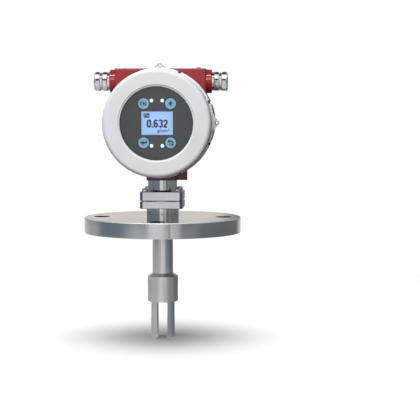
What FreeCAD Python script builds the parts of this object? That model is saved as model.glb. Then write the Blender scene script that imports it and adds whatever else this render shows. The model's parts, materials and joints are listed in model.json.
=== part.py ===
"""Tuning fork density meter: a sealed two-compartment head on a flanged fork probe.

Millimetres. The origin is the centre of the bolt circle on the process flange's underside, +Z
runs up the stem towards the head, -Y is the side with the display and +X is on the reader's right.
"""
import FreeCAD, Part
import math
import os
from FreeCAD import Vector

# Clearances
SLIP = 0.1              # radial gap of a piece pushed or screwed into its fixed seat
RUNNING_GAP = 0.35      # gap between pieces that move against each other
END_GAP = 1.0           # axial room left at the bottom of a threaded cover
BEYOND = 1.0            # how far a cutting tool runs past the face that it cuts

# Process flange
FLANGE_RADIUS = 92.5
FLANGE_THICKNESS = 18.0
RAISED_FACE_RADIUS = 61.0
RAISED_FACE_HEIGHT = 2.0
BOLT_CIRCLE_RADIUS = 72.5
BOLT_HOLE_RADIUS = 9.0
BOLT_COUNT = 4
BOLT_HOLE_CHAMFER = 0.8
FLANGE_CHAMFER = 0.8

# Stem, sensor collar and fork
STEM_RADIUS = 12.2
STEM_BORE_RADIUS = 8.0
STEM_REACH = 48.7
CONE_LENGTH = 3.5
COLLAR_WALL = 3.0
COLLAR_LENGTH = 30.2
COLLAR_SOCKET_DEPTH = 9.3
COLLAR_LEDGE = 4.0
COLLAR_CHAMFER = 0.6
FORK_RADIUS = 14.0
FORK_SLOT = 12.3
FORK_SHOULDER = 1.0
FORK_ROOT_THICKNESS = 7.4
TINE_LENGTH = 42.7
TINE_END_ROUND = 0.8

# Piezo stack and temperature sensor inside the collar
STACK_RADIUS = 7.0
STACK_BORE_RADIUS = 3.2
INSULATOR_THICKNESS = 1.5
PIEZO_THICKNESS = 2.5
ELECTRODE_THICKNESS = 0.4
ELECTRODE_TAB = 3.0
PRELOAD_BOLT_RADIUS = 3.0
PRELOAD_THREAD = 5.0
PRELOAD_HEAD_FLATS = 10.0
PRELOAD_HEAD_HEIGHT = 4.0
PROBE_RADIUS = 1.5
PROBE_LENGTH = 15.0
PROBE_SINK = 5.0

# Necks and the bolted pair of square flanges
LOWER_NECK_RADIUS = 19.0
LOWER_NECK_LENGTH = 11.0
SQUARE_WIDTH = 50.0
SQUARE_CORNER = 4.0
SQUARE_CHAMFER = 0.5
LOWER_SQUARE_THICKNESS = 8.6
UPPER_SQUARE_THICKNESS = 10.4
GASKET_THICKNESS = 0.9
GASKET_INSET = 2.0
SCREW_INSET = 5.8
SCREW_RADIUS = 2.0
SCREW_HEAD_RADIUS = 3.5
SCREW_HEAD_HEIGHT = 4.0
SCREW_HEAD_CHAMFER = 0.5
SCREW_SOCKET_FLATS = 3.0
SCREW_LENGTH = 17.0
UPPER_NECK_RADIUS = 17.2
UPPER_NECK_LENGTH = 13.0
NECK_THREAD_RADIUS = 13.5
NECK_THREAD_LENGTH = 14.0
NECK_RING_SECTION = 0.9

# Housing casting
BARREL_RADIUS = 58.0
BARREL_WALL = 8.5
BARREL_FRONT = -31.5
BARREL_BACK = 32.0
PARTITION_THICKNESS = 4.0
THREAD_STEP = 3.5
BACK_THREAD_LENGTH = 11.5
CONDUIT_INSET = 5.0
CONDUIT_RISE = 4.7
CONDUIT_SHOULDER = 33.9
CONDUIT_BACK = 0.0
CONDUIT_WALL = 6.0
CONDUIT_ROUND = 1.2
CASTING_ROUND = 1.5
ENTRY_Y = -17.0
ENTRY_BELOW_TOP = 14.7
ENTRY_BOSS_RADIUS = 13.75
ENTRY_BOSS_LENGTH = 6.2
ENTRY_BOSS_CHAMFER = 0.6
BASE_DROP = 9.7
BASE_HALF_WIDTH = 17.75
BASE_HALF_DEPTH = 17.0
BASE_ROUND = 2.0
LOCK_BOSS_REACH = 29.2
LOCK_BOSS_HALF_DEPTH = 6.0
LOCK_BOSS_HEIGHT = 20.0
LOCK_SCREW_RADIUS = 2.5
LOCK_SCREW_SOCKET_FLATS = 2.5
LOCK_SCREW_HEIGHT = 7.0
LOCK_SCREW_SINK = 1.0
TOP_SCREW_FROM_END = 9.2
TOP_SCREW_RADIUS = 1.5
TOP_SCREW_HEAD_RADIUS = 2.6
TOP_SCREW_HEAD_HEIGHT = 1.9
TOP_SCREW_LENGTH = 4.0

# Covers
COVER_OVERHANG = 3.0
FRONT_COVER_LENGTH = 55.0
FRONT_EDGE_ROUND = 4.5
SKIRT_STEP = 2.0
SKIRT_LENGTH = 21.0
SKIRT_CHAMFER = 0.5
COVER_SHOULDER_GAP = 1.5
BEZEL_WIDTH = 19.6
WINDOW_BEVEL = 1.0
WINDOW_LAND = 1.0
WINDOW_LIP = 3.5
GLASS_OVERLAP = 5.2
GLASS_THICKNESS = 8.0
GLASS_GASKET_THICKNESS = 1.0
RETAINER_LENGTH = 5.0
RETAINER_WALL = 3.2
RETAINER_ROOM = 2.0
THREAD_ROOM = 9.0
RING_SECTION = 1.5
RING_POCKET_DEPTH = 4.5
NOTCH_COUNT = 8
NOTCH_WIDTH = 4.0
SKIRT_NOTCH_DEPTH = 2.0
BACK_NOTCH_DEPTH = 1.6
EAR_HOLE_OUT = 2.6
EAR_HOLE_RADIUS = 1.25
EAR_TIP_RADIUS = 3.0
EAR_HALF_BASE = 12.5
EAR_SINK = 0.3
EAR_ROOT = 6.0
EAR_THICKNESS = 4.0
EAR_FROM_RIM = 4.0
BACK_RIM_GAP = 0.5
BACK_COVER_WALL = 5.5
BACK_EDGE_ROUND = 5.0
BACK_RIM_WIDTH = 15.0
BACK_DISH_DEPTH = 1.5

# Display module
PANEL_BEHIND_GLASS = 0.5
PANEL_OVERLAP = 1.4
PANEL_THICKNESS = 1.5
LCD_WIDTH = 35.2
LCD_HEIGHT = 26.0
LCD_BODY_MARGIN = 2.0
KEY_RADIUS = 6.3
KEY_HALF_X = 15.2
KEY_HALF_Z = 22.0
LED_RADIUS = 2.1
LED_HALF_X = 6.1
LED_HALF_Z = 25.4
PANEL_TO_BOARD = 5.0
BOARD_THICKNESS = 1.6
DISPLAY_BOARD_INSET = 0.8
MAIN_BOARD_GAP = 3.5
POST_FROM_EDGE = 3.8
POST_RADIUS = 3.0
CASTING_POST_RADIUS = 4.5
CASTING_POST_LENGTH = 12.0

# Wiring
CABLE_RADIUS = 2.5
CABLE_BEND = 18.0
CABLE_TURN_HEIGHT = 36.0
CABLE_FEED_RADIUS = 3.2
GROMMET_LENGTH = 10.0
CONNECTOR_WIDTH = 14.0
CONNECTOR_HEIGHT = 8.0
CONNECTOR_DEPTH = 7.0
TERMINAL_POLES = 8
TERMINAL_PITCH = 7.0
TERMINAL_HEIGHT = 22.0
TERMINAL_DEPTH = 16.0
TERMINAL_STEP = 7.0
TERMINAL_LEDGE = 11.0
TERMINAL_ABOVE_AXIS = 4.0
TERMINAL_SCREW_RADIUS = 2.2
TERMINAL_SCREW_HEIGHT = 4.0
TERMINAL_SLOT_WIDTH = 0.7
TERMINAL_SLOT_DEPTH = 1.1
WIRE_HOLE_RADIUS = 1.8
EARTH_SCREW_X = -34.0
EARTH_SCREW_DROP = 20.0
EARTH_SCREW_RADIUS = 2.0
EARTH_HEAD_RADIUS = 4.0
EARTH_HEAD_HEIGHT = 3.0

# Cable glands
GLAND_THREAD_RADIUS = 10.0
GLAND_THREAD_LENGTH = 10.0
GLAND_COLLAR_STEP = 0.8
GLAND_COLLAR_LENGTH = 3.0
GLAND_FLATS = 22.0
GLAND_HEX_LENGTH = 5.7
GLAND_NECK_WALL = 2.2
GLAND_NECK_LENGTH = 5.2
GLAND_NUT_LENGTH = 9.8
GLAND_NUT_END_WALL = 3.2
GLAND_NUT_DOME = 3.6
GLAND_CHAMFER = 0.8
CABLE_ENTRY_RADIUS = 5.0
GLAND_SEAL_WALL = 1.4
GLAND_SEAL_LENGTH = 7.0
GLAND_RING_THICKNESS = 0.8

# Radii and widths that follow from the sizes above
FORK_ROOT_RADIUS = FORK_RADIUS + FORK_SHOULDER
COLLAR_RADIUS = FORK_ROOT_RADIUS + COLLAR_WALL
COLLAR_CAVITY_RADIUS = FORK_ROOT_RADIUS - COLLAR_LEDGE
PROBE_OFFSET = (STACK_RADIUS + COLLAR_CAVITY_RADIUS) / 2
SCREW_SPACING = SQUARE_WIDTH - 2 * SCREW_INSET
GASKET_RADIUS = SQUARE_WIDTH / 2 - GASKET_INSET
COMPARTMENT_RADIUS = BARREL_RADIUS - BARREL_WALL
COVER_THREAD_RADIUS = BARREL_RADIUS - THREAD_STEP
CONDUIT_HALF_WIDTH = BARREL_RADIUS - CONDUIT_INSET
CONDUIT_TOP = BARREL_RADIUS + CONDUIT_RISE
ENTRY_END = CONDUIT_HALF_WIDTH + ENTRY_BOSS_LENGTH
TOP_SCREW_X = CONDUIT_HALF_WIDTH - TOP_SCREW_FROM_END
COVER_RADIUS = BARREL_RADIUS + COVER_OVERHANG
SKIRT_RADIUS = COVER_RADIUS + SKIRT_STEP
EAR_HOLE_AT = SKIRT_RADIUS + EAR_HOLE_OUT
BACK_DISH_RADIUS = COVER_RADIUS - BACK_RIM_WIDTH
WINDOW_RADIUS = COVER_RADIUS - BEZEL_WIDTH
GLASS_RADIUS = WINDOW_RADIUS + GLASS_OVERLAP
RETAINER_BORE_RADIUS = GLASS_RADIUS - RETAINER_WALL
PANEL_RADIUS = WINDOW_RADIUS + PANEL_OVERLAP
DISPLAY_BOARD_RADIUS = PANEL_RADIUS - DISPLAY_BOARD_INSET
MAIN_BOARD_RADIUS = COMPARTMENT_RADIUS - MAIN_BOARD_GAP
POST_OFFSET = (DISPLAY_BOARD_RADIUS - POST_FROM_EDGE) * math.sqrt(0.5)
CASTING_POST_OFFSET = (MAIN_BOARD_RADIUS - POST_FROM_EDGE) * math.sqrt(0.5)
GLAND_COLLAR_RADIUS = GLAND_THREAD_RADIUS + GLAND_COLLAR_STEP
GLAND_BORE_RADIUS = CABLE_ENTRY_RADIUS + GLAND_SEAL_WALL
GLAND_NECK_RADIUS = GLAND_BORE_RADIUS + GLAND_NECK_WALL

# Heights and depths that follow from the sizes above
FLANGE_TOP = FLANGE_THICKNESS
LOWER_NECK_TOP = FLANGE_TOP + LOWER_NECK_LENGTH
LOWER_SQUARE_TOP = LOWER_NECK_TOP + LOWER_SQUARE_THICKNESS
UPPER_SQUARE_BOTTOM = LOWER_SQUARE_TOP + GASKET_THICKNESS
UPPER_SQUARE_TOP = UPPER_SQUARE_BOTTOM + UPPER_SQUARE_THICKNESS
BASE_BOTTOM = UPPER_SQUARE_TOP + UPPER_NECK_LENGTH
HEAD_Z = BASE_BOTTOM + BASE_DROP + BARREL_RADIUS
COLLAR_TOP = -STEM_REACH
COLLAR_BOTTOM = COLLAR_TOP - CONE_LENGTH - COLLAR_LENGTH
STEM_BOTTOM = COLLAR_TOP - COLLAR_SOCKET_DEPTH
FORK_ROOT_TOP = COLLAR_BOTTOM + FORK_ROOT_THICKNESS
STACK_HEIGHT = 2 * INSULATOR_THICKNESS + 2 * PIEZO_THICKNESS + ELECTRODE_THICKNESS
STACK_TOP = FORK_ROOT_TOP + STACK_HEIGHT
BOLT_HEAD_TOP = STACK_TOP + PRELOAD_HEAD_HEIGHT
FRONT_RIM = BARREL_FRONT - COVER_SHOULDER_GAP
FRONT_FACE = FRONT_RIM - FRONT_COVER_LENGTH
BACK_THREAD_END = BARREL_BACK + BACK_THREAD_LENGTH
BACK_FACE = BACK_THREAD_END + END_GAP + BACK_COVER_WALL
BACK_COVER_LENGTH = BACK_FACE - BARREL_BACK - BACK_RIM_GAP
GLASS_FRONT = FRONT_FACE + WINDOW_LIP + GLASS_GASKET_THICKNESS
GLASS_BACK = GLASS_FRONT + GLASS_THICKNESS
GLASS_POCKET_END = GLASS_BACK + RETAINER_LENGTH + RETAINER_ROOM
FRONT_THREAD_END = GLASS_POCKET_END + THREAD_ROOM
PANEL_FRONT = GLASS_BACK + PANEL_BEHIND_GLASS
PANEL_BACK = PANEL_FRONT + PANEL_THICKNESS
DISPLAY_BOARD_FRONT = PANEL_BACK + PANEL_TO_BOARD
DISPLAY_BOARD_BACK = DISPLAY_BOARD_FRONT + BOARD_THICKNESS
PARTITION_FRONT = BARREL_FRONT
PARTITION_BACK = PARTITION_FRONT + PARTITION_THICKNESS
MAIN_BOARD_BACK = PARTITION_FRONT - CASTING_POST_LENGTH
MAIN_BOARD_FRONT = MAIN_BOARD_BACK - BOARD_THICKNESS
CABLE_TURN_Z = BASE_BOTTOM + CABLE_TURN_HEIGHT
CONDUIT_TOP_Z = HEAD_Z + CONDUIT_TOP
ENTRY_Z = CONDUIT_TOP_Z - ENTRY_BELOW_TOP
TERMINAL_TOP = HEAD_Z + TERMINAL_ABOVE_AXIS + TERMINAL_HEIGHT
TERMINAL_SCREW_LINE = TERMINAL_TOP - TERMINAL_LEDGE / 2
TERMINAL_STEP_FACE = PARTITION_BACK + TERMINAL_DEPTH - TERMINAL_STEP

# Directions
UP = Vector(0, 0, 1)
DOWN = Vector(0, 0, -1)
FORWARD = Vector(0, -1, 0)
BACKWARD = Vector(0, 1, 0)
RIGHT = Vector(1, 0, 0)


def outline_face(corners, place):
    """Face inside a polygon of (u, v) or (u, v, rounding radius) corners, set in space by place(u, v)."""
    flat = [Vector(c[0], c[1], 0) for c in corners]
    radii = [c[2] if len(c) > 2 else 0.0 for c in corners]
    joints = []
    for i, corner in enumerate(flat):
        if not radii[i]:
            joints.append((corner, corner, corner))
            continue
        back = (flat[i - 1] - corner).normalize()
        ahead = (flat[(i + 1) % len(flat)] - corner).normalize()
        half = back.getAngle(ahead) / 2
        reach = radii[i] / math.tan(half)
        bisector = (back + ahead).normalize()
        middle = corner + bisector * (radii[i] / math.sin(half) - radii[i])
        joints.append((corner + back * reach, middle, corner + ahead * reach))
    edges = []
    for i, (start, middle, end) in enumerate(joints):
        if radii[i]:
            arc = Part.Arc(*(place(p.x, p.y) for p in (start, middle, end)))
            edges.append(arc.toShape())
        following = joints[(i + 1) % len(joints)][0]
        if end.distanceToPoint(following) > 1e-6:
            edges.append(Part.LineSegment(place(end.x, end.y), place(following.x, following.y)).toShape())
    return Part.Face(Part.Wire(edges))


def turned(profile, base=Vector(0, 0, 0), axis=UP):
    """Solid turned round an axis from corners (radius, distance along the axis from base)."""
    across = RIGHT if abs(axis.x) < 0.5 else BACKWARD
    face = outline_face(profile, lambda r, h: base + across * r + axis * h)
    return face.revolve(base, axis, 360)


def tube(outer, inner, length, base, axis=UP):
    """Straight tube or ring from base along axis."""
    return turned([(inner, 0), (outer, 0), (outer, length), (inner, length)], base, axis)


def rod(radius, length, base, axis=UP):
    """Plain cylinder from base along axis."""
    return Part.makeCylinder(radius, length, base, axis)


def seal_ring(radius, section, centre, axis):
    """Ring seal, its round section drawn with eight sides."""
    corners = [(radius + section * math.cos(math.pi / 8 * k), section * math.sin(math.pi / 8 * k))
               for k in range(1, 16, 2)]
    return turned(corners, centre, axis)


def plate(corners, bottom, thickness):
    """Horizontal plate with the given outline in X and Y."""
    return outline_face(corners, lambda x, y: Vector(x, y, bottom)).extrude(UP * thickness)


def upright(corners, front, depth):
    """Solid with an outline in X and height above the head's axis, from front towards the back."""
    return outline_face(corners, lambda x, z: Vector(x, front, HEAD_Z + z)).extrude(BACKWARD * depth)


def rectangle(half_width, half_height, corner=0.0):
    """Corners of a rectangle about the origin."""
    signs = [(-1, -1), (1, -1), (1, 1), (-1, 1)]
    return [(sx * half_width, sy * half_height, corner) for sx, sy in signs]


def hexagon(flats, length, base, axis):
    """Hexagonal prism along an axis, with two of its flats facing up and down on a level axis."""
    side = UP if abs(axis.z) < 0.5 else RIGHT
    across = axis.cross(side)
    corner = flats / math.sqrt(3)
    points = []
    for k in range(6):
        angle = math.radians(60 * k)
        points.append(base + across * (corner * math.cos(angle)) + side * (corner * math.sin(angle)))
    return Part.Face(Part.makePolygon(points + points[:1])).extrude(axis * length)


def quadrant_points(half_x, half_y):
    """The four points (+-x, +-y)."""
    return [(sx * half_x, sy * half_y) for sy in (1, -1) for sx in (-1, 1)]


def on_panel(x, z, y):
    """Point at (x, z) from the head's axis, at depth y."""
    return Vector(x, y, HEAD_Z + z)


def bolt_circle(count, radius, height):
    """Points evenly spaced round the stem, the first one on +X."""
    step = 2 * math.pi / count
    return [Vector(radius * math.cos(k * step), radius * math.sin(k * step), height) for k in range(count)]


# Process side

def process_flange():
    """Round flange with a raised sealing face, a ring of bolt holes and the stem's bore."""
    stem_hole = STEM_RADIUS + SLIP
    profile = [(stem_hole, -RAISED_FACE_HEIGHT), (RAISED_FACE_RADIUS, -RAISED_FACE_HEIGHT),
               (RAISED_FACE_RADIUS, 0), (FLANGE_RADIUS - FLANGE_CHAMFER, 0),
               (FLANGE_RADIUS, FLANGE_CHAMFER), (FLANGE_RADIUS, FLANGE_TOP - FLANGE_CHAMFER),
               (FLANGE_RADIUS - FLANGE_CHAMFER, FLANGE_TOP), (stem_hole, FLANGE_TOP)]
    mouth = BOLT_HOLE_RADIUS + BOLT_HOLE_CHAMFER + BEYOND
    drill = [(0, -BEYOND), (BOLT_HOLE_RADIUS, -BEYOND), (BOLT_HOLE_RADIUS, FLANGE_TOP - BOLT_HOLE_CHAMFER),
             (mouth, FLANGE_TOP + BEYOND), (0, FLANGE_TOP + BEYOND)]
    holes = [turned(drill, p) for p in bolt_circle(BOLT_COUNT, BOLT_CIRCLE_RADIUS, 0)]
    return turned(profile).cut(holes)


def stem_tube():
    """Tube welded through the flange, from the sensor collar up to the lower square flange."""
    return tube(STEM_RADIUS, STEM_BORE_RADIUS, LOWER_SQUARE_TOP - STEM_BOTTOM, Vector(0, 0, STEM_BOTTOM))


def sensor_collar():
    """Turned collar: a cone down from the stem, a socket for the stem, and a seat for the fork."""
    socket = STEM_RADIUS + SLIP
    profile = [(socket, COLLAR_TOP), (COLLAR_RADIUS, COLLAR_TOP - CONE_LENGTH),
               (COLLAR_RADIUS, COLLAR_BOTTOM + COLLAR_CHAMFER),
               (COLLAR_RADIUS - COLLAR_CHAMFER, COLLAR_BOTTOM),
               (FORK_ROOT_RADIUS + SLIP, COLLAR_BOTTOM), (FORK_ROOT_RADIUS + SLIP, FORK_ROOT_TOP),
               (COLLAR_CAVITY_RADIUS, FORK_ROOT_TOP), (COLLAR_CAVITY_RADIUS, STEM_BOTTOM),
               (socket, STEM_BOTTOM)]
    return turned(profile)


def tuning_fork():
    """Fork milled from one bar: a root disc, and two tines with round backs and flat inner faces."""
    root = rod(FORK_ROOT_RADIUS, FORK_ROOT_THICKNESS, Vector(0, 0, COLLAR_BOTTOM))
    bar = turned([(0, 0), (FORK_RADIUS, 0), (FORK_RADIUS, TINE_LENGTH, TINE_END_ROUND), (0, TINE_LENGTH)],
                 Vector(0, 0, COLLAR_BOTTOM), DOWN)
    slot = plate(rectangle(FORK_SLOT / 2, FORK_RADIUS + BEYOND), COLLAR_BOTTOM - TINE_LENGTH - BEYOND,
                 TINE_LENGTH + BEYOND)
    bolt_hole = rod(PRELOAD_BOLT_RADIUS + SLIP, PRELOAD_THREAD + BEYOND,
                    Vector(0, 0, FORK_ROOT_TOP - PRELOAD_THREAD))
    probe_hole = rod(PROBE_RADIUS + SLIP, PROBE_SINK + BEYOND,
                     Vector(0, PROBE_OFFSET, FORK_ROOT_TOP - PROBE_SINK))
    return root.fuse(bar.cut(slot)).cut([bolt_hole, probe_hole]).removeSplitter()


def stack_ring(level, thickness):
    """One washer of the piezo stack, at a level above the fork's root."""
    return tube(STACK_RADIUS, STACK_BORE_RADIUS, thickness, Vector(0, 0, FORK_ROOT_TOP + level))


def stack_insulators():
    """Ceramic washers under and over the piezo discs."""
    levels = (0, STACK_HEIGHT - INSULATOR_THICKNESS)
    return Part.Compound([stack_ring(level, INSULATOR_THICKNESS) for level in levels])


def drive_piezo():
    """Lower piezo disc, which drives the fork."""
    return stack_ring(INSULATOR_THICKNESS, PIEZO_THICKNESS)


def stack_electrode():
    """Sheet electrode between the discs, with a solder tab at the side."""
    level = INSULATOR_THICKNESS + PIEZO_THICKNESS
    half = ELECTRODE_TAB / 2
    inner = -STACK_BORE_RADIUS - SLIP
    outer = -STACK_RADIUS - ELECTRODE_TAB
    tab = [(outer, -half), (inner, -half), (inner, half), (outer, half)]
    return stack_ring(level, ELECTRODE_THICKNESS).fuse(
        plate(tab, FORK_ROOT_TOP + level, ELECTRODE_THICKNESS)).removeSplitter()


def pickup_piezo():
    """Upper piezo disc, which senses the fork's motion."""
    return stack_ring(INSULATOR_THICKNESS + PIEZO_THICKNESS + ELECTRODE_THICKNESS, PIEZO_THICKNESS)


def preload_bolt():
    """Bolt that clamps the stack on the fork's root."""
    bottom = Vector(0, 0, FORK_ROOT_TOP - PRELOAD_THREAD + SLIP)
    shank = rod(PRELOAD_BOLT_RADIUS, STACK_TOP - bottom.z, bottom)
    return shank.fuse(hexagon(PRELOAD_HEAD_FLATS, PRELOAD_HEAD_HEIGHT, Vector(0, 0, STACK_TOP), UP))


def temperature_sensor():
    """Sheathed temperature probe set in the fork's root beside the stack."""
    tip = Vector(0, PROBE_OFFSET, FORK_ROOT_TOP - PROBE_SINK + SLIP)
    profile = [(0, 0), (PROBE_RADIUS, 0), (PROBE_RADIUS, PROBE_LENGTH, PROBE_RADIUS / 2), (0, PROBE_LENGTH)]
    return turned(profile, tip)


def lower_neck():
    """Turned spacer between the process flange and the lower square flange."""
    return tube(LOWER_NECK_RADIUS, STEM_RADIUS + SLIP, LOWER_NECK_LENGTH, Vector(0, 0, FLANGE_TOP))


def square_flange(bottom, thickness, bore, screw_hole):
    """Square plate with rounded corners and chamfered rims, a bore and four screw holes."""
    half = SQUARE_WIDTH / 2
    blank = plate(rectangle(half, half, SQUARE_CORNER), bottom, thickness)
    rims = [edge for edge in blank.Edges if edge.BoundBox.ZLength < SLIP]
    blank = blank.makeChamfer(SQUARE_CHAMFER, rims)
    below = bottom - BEYOND
    deep = thickness + 2 * BEYOND
    holes = [rod(screw_hole, deep, Vector(x, y, below))
             for x, y in quadrant_points(SCREW_SPACING / 2, SCREW_SPACING / 2)]
    return blank.cut(holes + [rod(bore, deep, Vector(0, 0, below))])


def lower_square_flange():
    """Plate welded on the lower neck, with the threaded holes."""
    return square_flange(LOWER_NECK_TOP, LOWER_SQUARE_THICKNESS, STEM_RADIUS + SLIP, SCREW_RADIUS + SLIP)


def flange_gasket():
    """Round gasket that keeps the two square plates apart."""
    return tube(GASKET_RADIUS, STEM_RADIUS, GASKET_THICKNESS, Vector(0, 0, LOWER_SQUARE_TOP))


def upper_square_flange():
    """Plate on the upper neck, with clearance holes for the screws."""
    screw_hole = SCREW_RADIUS + 2 * SLIP
    return square_flange(UPPER_SQUARE_BOTTOM, UPPER_SQUARE_THICKNESS, STEM_BORE_RADIUS, screw_hole)


def socket_screw(seat):
    """Cap screw with a hexagon socket, its head standing on seat."""
    top = seat + UP * SCREW_HEAD_HEIGHT
    profile = [(0, 0), (SCREW_HEAD_RADIUS, 0), (SCREW_HEAD_RADIUS, SCREW_HEAD_HEIGHT - SCREW_HEAD_CHAMFER),
               (SCREW_HEAD_RADIUS - SCREW_HEAD_CHAMFER, SCREW_HEAD_HEIGHT), (0, SCREW_HEAD_HEIGHT)]
    head = turned(profile, seat)
    socket = hexagon(SCREW_SOCKET_FLATS, SCREW_HEAD_HEIGHT / 2, top - UP * (SCREW_HEAD_HEIGHT / 2), UP)
    return head.cut(socket).fuse(rod(SCREW_RADIUS, SCREW_LENGTH, seat, DOWN)).removeSplitter()


def flange_screws():
    """Four cap screws that bolt the square plates together."""
    corners = quadrant_points(SCREW_SPACING / 2, SCREW_SPACING / 2)
    return Part.Compound([socket_screw(Vector(x, y, UPPER_SQUARE_TOP)) for x, y in corners])


def upper_neck():
    """Tube that carries the head, with a threaded end inside the casting."""
    profile = [(STEM_BORE_RADIUS, 0), (UPPER_NECK_RADIUS, 0), (UPPER_NECK_RADIUS, UPPER_NECK_LENGTH),
               (NECK_THREAD_RADIUS, UPPER_NECK_LENGTH),
               (NECK_THREAD_RADIUS, UPPER_NECK_LENGTH + NECK_THREAD_LENGTH),
               (STEM_BORE_RADIUS, UPPER_NECK_LENGTH + NECK_THREAD_LENGTH)]
    return turned(profile, Vector(0, 0, UPPER_SQUARE_TOP))


def neck_o_ring():
    """Seal round the neck's thread, in a pocket of the casting."""
    centre = Vector(0, 0, BASE_BOTTOM + NECK_RING_SECTION + SLIP)
    return seal_ring(NECK_THREAD_RADIUS + NECK_RING_SECTION + SLIP, NECK_RING_SECTION, centre, UP)


# Housing casting

def conduit_outline(half_width, top, shoulder, barrel):
    """Outline of the cable conduit over the barrel, its sides running down tangent to the barrel."""
    reach = math.hypot(half_width, shoulder)
    angle = math.atan2(shoulder, half_width) - math.acos(barrel / reach)
    touch_x = barrel * math.cos(angle)
    touch_z = barrel * math.sin(angle)
    return [(-half_width, top, CONDUIT_ROUND), (half_width, top, CONDUIT_ROUND), (half_width, shoulder),
            (touch_x, touch_z), (-touch_x, touch_z), (-half_width, shoulder)]


def conduit_bar():
    """Cable conduit on the barrel, with the edges of its front and back faces rounded."""
    outline = conduit_outline(CONDUIT_HALF_WIDTH, CONDUIT_TOP, CONDUIT_SHOULDER, BARREL_RADIUS)
    bar = upright(outline, BARREL_FRONT, CONDUIT_BACK - BARREL_FRONT)
    shoulder_z = HEAD_Z + CONDUIT_SHOULDER
    rims = [edge for edge in bar.Edges
            if edge.BoundBox.YLength < SLIP and edge.BoundBox.ZMin > shoulder_z - SLIP]
    return bar.makeFillet(CASTING_ROUND, rims)


def entry_bosses():
    """Round bosses of the two cable entries, joined through the conduit, chamfered at their ends."""
    rim = ENTRY_BOSS_RADIUS - ENTRY_BOSS_CHAMFER
    length = 2 * ENTRY_END
    profile = [(0, 0), (rim, 0), (ENTRY_BOSS_RADIUS, ENTRY_BOSS_CHAMFER),
               (ENTRY_BOSS_RADIUS, length - ENTRY_BOSS_CHAMFER), (rim, length), (0, length)]
    return turned(profile, Vector(-ENTRY_END, ENTRY_Y, ENTRY_Z), RIGHT)


def casting_blank():
    """Outside of the casting: barrel, threaded ends, conduit, entry bosses, base and lock boss."""
    axis = Vector(0, 0, HEAD_Z)
    barrel = rod(BARREL_RADIUS, BARREL_BACK - BARREL_FRONT, axis + BACKWARD * BARREL_FRONT, BACKWARD)
    threads = rod(COVER_THREAD_RADIUS, BACK_THREAD_END - FRONT_THREAD_END,
                  axis + BACKWARD * FRONT_THREAD_END, BACKWARD)
    base_height = HEAD_Z - COMPARTMENT_RADIUS - BASE_BOTTOM
    base = plate(rectangle(BASE_HALF_WIDTH, BASE_HALF_DEPTH, BASE_ROUND), BASE_BOTTOM, base_height)
    lock = [(0, -LOCK_BOSS_HALF_DEPTH), (LOCK_BOSS_REACH, -LOCK_BOSS_HALF_DEPTH, BASE_ROUND),
            (LOCK_BOSS_REACH, LOCK_BOSS_HALF_DEPTH, BASE_ROUND), (0, LOCK_BOSS_HALF_DEPTH)]
    lock_boss = plate(lock, BASE_BOTTOM, LOCK_BOSS_HEIGHT)
    return barrel.fuse([threads, conduit_bar(), entry_bosses(), base, lock_boss])


def casting_hollows():
    """Compartments, conduit space, threaded entries and the drilled holes."""
    axis = Vector(0, 0, HEAD_Z)
    front = rod(COMPARTMENT_RADIUS, PARTITION_FRONT - FRONT_THREAD_END + BEYOND,
                axis + BACKWARD * (FRONT_THREAD_END - BEYOND), BACKWARD)
    back = rod(COMPARTMENT_RADIUS, BACK_THREAD_END + BEYOND - PARTITION_BACK,
               axis + BACKWARD * PARTITION_BACK, BACKWARD)
    space = upright(conduit_outline(CONDUIT_HALF_WIDTH - CONDUIT_WALL, CONDUIT_TOP - CONDUIT_WALL,
                                    CONDUIT_SHOULDER, COMPARTMENT_RADIUS),
                    PARTITION_BACK, CONDUIT_BACK - CONDUIT_WALL - PARTITION_BACK)
    entries = rod(GLAND_THREAD_RADIUS, 2 * (ENTRY_END + BEYOND),
                  Vector(-ENTRY_END - BEYOND, ENTRY_Y, ENTRY_Z), RIGHT)
    neck_hole = rod(NECK_THREAD_RADIUS + SLIP, HEAD_Z - BASE_BOTTOM, Vector(0, 0, BASE_BOTTOM - BEYOND))
    ring_pocket = rod(NECK_THREAD_RADIUS + 2 * (NECK_RING_SECTION + SLIP),
                      2 * (NECK_RING_SECTION + SLIP) + BEYOND, Vector(0, 0, BASE_BOTTOM - BEYOND))
    lock_hole = rod(LOCK_SCREW_RADIUS + SLIP, LOCK_BOSS_REACH + BEYOND,
                    Vector(0, 0, BASE_BOTTOM + LOCK_SCREW_HEIGHT), RIGHT)
    top_hole = rod(TOP_SCREW_RADIUS + SLIP, TOP_SCREW_LENGTH + SLIP,
                   Vector(TOP_SCREW_X, ENTRY_Y, CONDUIT_TOP_Z), DOWN)
    cable_hole = rod(CABLE_FEED_RADIUS, PARTITION_THICKNESS + 2 * BEYOND,
                     Vector(0, PARTITION_BACK + BEYOND, CABLE_TURN_Z), FORWARD)
    earth_hole = rod(EARTH_SCREW_RADIUS + SLIP, PARTITION_THICKNESS,
                     on_panel(EARTH_SCREW_X, -EARTH_SCREW_DROP, PARTITION_BACK), FORWARD)
    return [front, back, space, entries, neck_hole, ring_pocket, lock_hole, top_hole, cable_hole, earth_hole]


def housing_body():
    """Die-cast head: two compartments either side of a partition, under a cable conduit."""
    posts = [rod(CASTING_POST_RADIUS, CASTING_POST_LENGTH, on_panel(x, z, PARTITION_FRONT), FORWARD)
             for x, z in quadrant_points(CASTING_POST_OFFSET, CASTING_POST_OFFSET)]
    return casting_blank().cut(casting_hollows()).fuse(posts).removeSplitter()


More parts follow.
